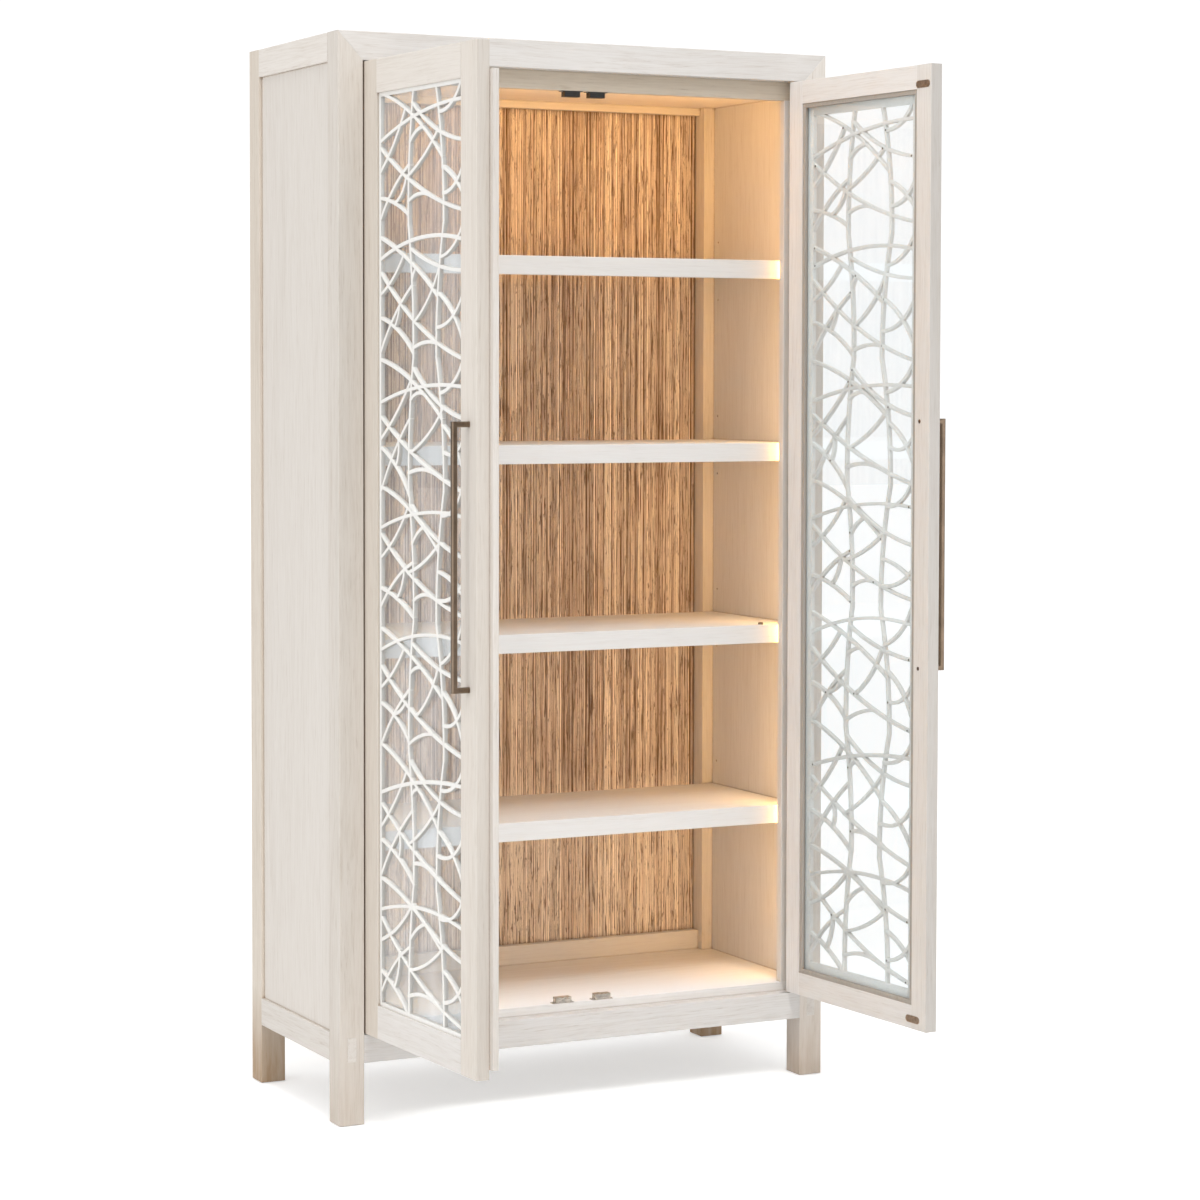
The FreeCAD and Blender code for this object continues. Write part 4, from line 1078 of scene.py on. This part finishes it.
# The long handles are brushed along their length and rubbed wider at the edges than the small parts.
BRUSHED = {"antique_bronze": (900.0, 20.0)}
RUBBED = {"antique_bronze": 2.4 * MM}
THIN = 0.8 * MM
SMALL_PARTS = {
    "antique_bronze": ("left_door_handle", "right_door_handle"),
    "worn_bronze": ("left_door_strike_plates", "right_door_strike_plates"),
    "dark_bronze": ("left_door_handle_screws", "right_door_handle_screws"),
    "switch_bronze": ("touch_switch",),
    "nickel": ("bottom_catches",),
    "steel_pin": (
        "left_door_pivot_pins", "right_door_pivot_pins", "pivot_sockets", "shelf_pins", "catch_screws",
        "back_board_screws",
    ),
    "aluminium_channel": ("light_strip_left", "light_strip_right"),
    "black_catch": ("top_catches",),
    "glide_plastic": ("foot_glides",),
}


def metal_material(name):
    """Metal or plastic with cloudy tone, fine brushing and edges that are rubbed bright."""
    base, rubbed, roughness, patchy = METALS[name]
    material, graph, shader, _ = new_material(name)
    vector = object_vector(graph)
    cloud = graph.noise(vector, patchy, 4.0, 0.65)
    lines = graph.streaks(vector, *BRUSHED[name]) if name in BRUSHED else cloud
    edge = eased(graph, vector, RUBBED.get(name, THIN))
    tone = graph.mix(graph.ramp(cloud, 0.35, 0.7), base, dimmed(base, 0.62))
    graph.feed(shader, {
        "Base Color": graph.mix(graph.times(edge.outputs["Mask"], 0.7), tone, rubbed),
        "Roughness": graph.ramp(lines, 0.3, 0.7, roughness * 0.8, roughness * 1.25),
        "Metallic": 0.0 if name in PLASTIC else 1.0,
        "Normal": graph.bump(lines, 0.2, 0.0001, edge.outputs["Normal"]),
    })
    return material


class CABINET_OT_metal(bpy.types.Operator):
    """Gives the handles, strikes, catches, pins, screws and glides their finish"""

    bl_idname = "cabinet.metal"
    bl_label = "Handles, catches and other small parts"

    def execute(self, context):
        for name, nodes in SMALL_PARTS.items():
            finish = metal_material(name)
            for node in nodes:
                dress(node, finish)
        return {"FINISHED"}


# Lights inside.


# A strip's lamp: its width, how far it stands behind the strip and how widely it shines. Then the size of
# the lamp under the top.
STRIP_LAMP = 8.0 * MM
STRIP_GAP = 3.0 * MM
STRIP_SPREAD = math.radians(145.0)
TOP_LAMP = (0.85, 0.02)


class CABINET_OT_lights(bpy.types.Operator):
    """Lights the diffusers behind the door stops, and puts a warm lamp at each"""

    bl_idname = "cabinet.lights"
    bl_label = "Inside lights"

    def execute(self, context):
        light = context.scene.cabinet.light
        material, graph, shader, _ = new_material("warm_diffuser")
        dots = graph.noise(object_vector(graph), 60.0, 2.0, 0.5)
        graph.feed(shader, {
            "Base Color": graph.mix(
                graph.ramp(dots, 0.35, 0.7), (0.95, 0.90, 0.82, 1.0), (0.90, 0.82, 0.72, 1.0)
            ),
            "Roughness": 0.5,
            "Emission Color": light.warm,
            "Emission Strength": light.glow,
        })
        dress("light_diffusers", material)
        for side in ("left", "right"):
            low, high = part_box("light_strip_" + side)
            middle = (low + high) / 2
            lamp = soft_lamp(
                "warm_strip_" + side,
                (middle.x, high.y + STRIP_GAP, middle.z), (middle.x * 0.1, 1.0, middle.z),
                (STRIP_LAMP, high.z - low.z), light.strip, light.warm[:3],
            )
            lamp.data.spread = STRIP_SPREAD
        low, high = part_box("ceiling_board")
        centre = (low.x + high.x) / 2
        soft_lamp(
            "warm_top", (centre, low.y + 0.05, low.z - 0.03), (centre, high.y, low.z + 0.10),
            TOP_LAMP, light.top, light.warm[:3],
        )
        return {"FINISHED"}


# Stage.


# The floor's width, how bright the camera sees the room, and the room's colour in reflections.
FLOOR = 60.0
BACKDROP = 1.08
CREAM = (1.0, 0.98, 0.96, 1.0)
LAMP_WHITE = (1.0, 0.985, 0.97)
# Where the photo was taken from, and the camera's pan, tilt and roll in degrees. The picture is shifted
# by a share of its width.
EYE = (-2.86246, -5.71636, 1.47634)
EYE_TURNS = (-26.7164, 87.5111, 0.1022)
EYE_SHIFT = -0.075


def looked_at(graph):
    """One for what the camera sees, straight or through glass, and zero for light on its way."""
    path = graph.add("ShaderNodeLightPath")
    return graph.math("MAXIMUM", path.outputs["Is Camera Ray"], path.outputs["Is Transmission Ray"])


def stage_floor(tone, shine):
    """A wide pale floor."""
    fresh()
    bpy.ops.mesh.primitive_plane_add(size=FLOOR)
    floor = bpy.context.object
    floor.name = "floor"
    settle(floor)
    material, graph, shader, _ = new_material("floor")
    cloud = graph.noise(object_vector(graph), 1.5, 2.0, 0.5)
    graph.feed(shader, {
        "Base Color": graph.mix(cloud, tone, dimmed(tone, 0.985)),
        "Roughness": 0.9,
        "Specular IOR Level": 0.0,
        "Emission Color": WHITE,
        "Emission Strength": graph.times(looked_at(graph), shine),
    })
    floor.data.materials.append(material)


def stage_room(sky, gloom):
    """A white room that is dimmer in reflections."""
    room = bpy.data.worlds.new("white_room")
    bpy.context.scene.world = room
    room.use_nodes = True
    graph = Graph(room.node_tree)
    room.node_tree.nodes.clear()
    lit = graph.add("ShaderNodeBackground", {"Color": WHITE, "Strength": sky})
    mirrored = graph.add("ShaderNodeBackground", {"Color": CREAM, "Strength": gloom})
    seen = graph.add("ShaderNodeBackground", {"Color": WHITE, "Strength": BACKDROP})
    gloss = graph.add("ShaderNodeLightPath").outputs["Is Glossy Ray"]
    around = graph.add("ShaderNodeMixShader", {0: gloss, 1: lit.outputs[0], 2: mirrored.outputs[0]})
    direct = looked_at(graph)
    world = graph.add("ShaderNodeMixShader", {0: direct, 1: around.outputs[0], 2: seen.outputs[0]})
    graph.add("ShaderNodeOutputWorld", {"Surface": world.outputs[0]})


def stage_camera(focal_length):
    """The camera, where the photo was taken from."""
    scene = bpy.context.scene
    lens = bpy.data.cameras.new("camera")
    lens.lens = focal_length
    lens.sensor_width = 36.0
    lens.shift_y = EYE_SHIFT
    lens.clip_end = 200.0
    eye = bpy.data.objects.new("camera", lens)
    scene.collection.objects.link(eye)
    eye.location = EYE
    pan, tilt, roll = (math.radians(turn) for turn in EYE_TURNS)
    look = Matrix.Rotation(pan, 4, "Z") @ Matrix.Rotation(tilt, 4, "X") @ Matrix.Rotation(roll, 4, "Z")
    eye.rotation_euler = look.to_euler()
    scene.camera = eye


class CABINET_OT_stage(bpy.types.Operator):
    """Sets the floor, the white room, the studio lamps and the camera"""

    bl_idname = "cabinet.stage"
    bl_label = "Stage, lamps and camera"

    def execute(self, context):
        stage = context.scene.cabinet.stage
        stage_floor(stage.floor, stage.shine)
        stage_room(stage.sky, stage.gloom)
        soft_lamp("key", (-5.0, -1.4, 2.0), (0.0, 0.0, 1.0), (2.6, 2.6), stage.key, LAMP_WHITE)
        soft_lamp("over", (-0.6, -1.3, 4.6), (0.0, 0.0, 1.0), (2.6, 2.6), stage.over, LAMP_WHITE)
        base = soft_lamp("base", (-0.3, -2.2, 3.6), (0.0, -0.05, 0.15), (1.6, 0.8), stage.base, LAMP_WHITE)
        base.data.spread = math.radians(22.0)
        # These are only mirrored: they light nothing themselves.
        for name, place, target, size, power, tone in (
            ("cool_card", (-2.4, 3.3, 1.7), (-0.5, -0.24, 1.2), (3.2, 3.4), stage.card, (0.88, 0.95, 1.0)),
            ("gleam", (3.8, -4.2, 1.2), (0.5, -0.4, 1.1), (1.2, 2.4), stage.gleam, WHITE[:3]),
            ("glint", (-3.6, -1.6, 1.2), (-0.5, -0.45, 1.1), (2.2, 2.0), stage.glint, WHITE[:3]),
        ):
            soft_lamp(name, place, target, size, power, tone).visible_diffuse = False
        stage_camera(stage.lens)
        context.scene.view_settings.view_transform = "Standard"
        context.scene.view_settings.look = "None"
        return {"FINISHED"}


# Panel and registration.


STEPS = (
    CABINET_OT_stage,
    CABINET_OT_oak,
    CABINET_OT_shelves,
    CABINET_OT_reeds,
    CABINET_OT_lattice,
    CABINET_OT_glass,
    CABINET_OT_metal,
    CABINET_OT_lights,
)


class CABINET_PT_sidebar(bpy.types.Panel):
    """Every step of the cabinet, and its sizes and colours"""

    bl_idname = "CABINET_PT_sidebar"
    bl_label = "Cabinet"
    bl_space_type = "VIEW_3D"
    bl_region_type = "UI"
    bl_category = "Cabinet"

    def draw(self, context):
        layout = self.layout
        for step in STEPS:
            layout.operator(step.bl_idname)
        for part in CabinetSettings.__annotations__:
            box = layout.box()
            box.label(text=part.capitalize())
            group = getattr(context.scene.cabinet, part)
            for key in group.__annotations__:
                box.prop(group, key)


CLASSES = (
    OakSettings, LatticeSettings, ReedSettings, LightSettings, StageSettings, CabinetSettings,
) + STEPS + (CABINET_PT_sidebar,)


def register():
    for entry in CLASSES:
        bpy.utils.register_class(entry)
    bpy.types.Scene.cabinet = PointerProperty(type=CabinetSettings)


def unregister():
    del bpy.types.Scene.cabinet
    for entry in reversed(CLASSES):
        bpy.utils.unregister_class(entry)


def main():
    register()
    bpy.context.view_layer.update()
    bpy.ops.cabinet.stage()
    bpy.ops.cabinet.oak()
    bpy.ops.cabinet.shelves()
    bpy.ops.cabinet.reeds()
    bpy.ops.cabinet.lattice()
    bpy.ops.cabinet.glass()
    bpy.ops.cabinet.metal()
    bpy.ops.cabinet.lights()


if __name__ == "__main__":
    main()
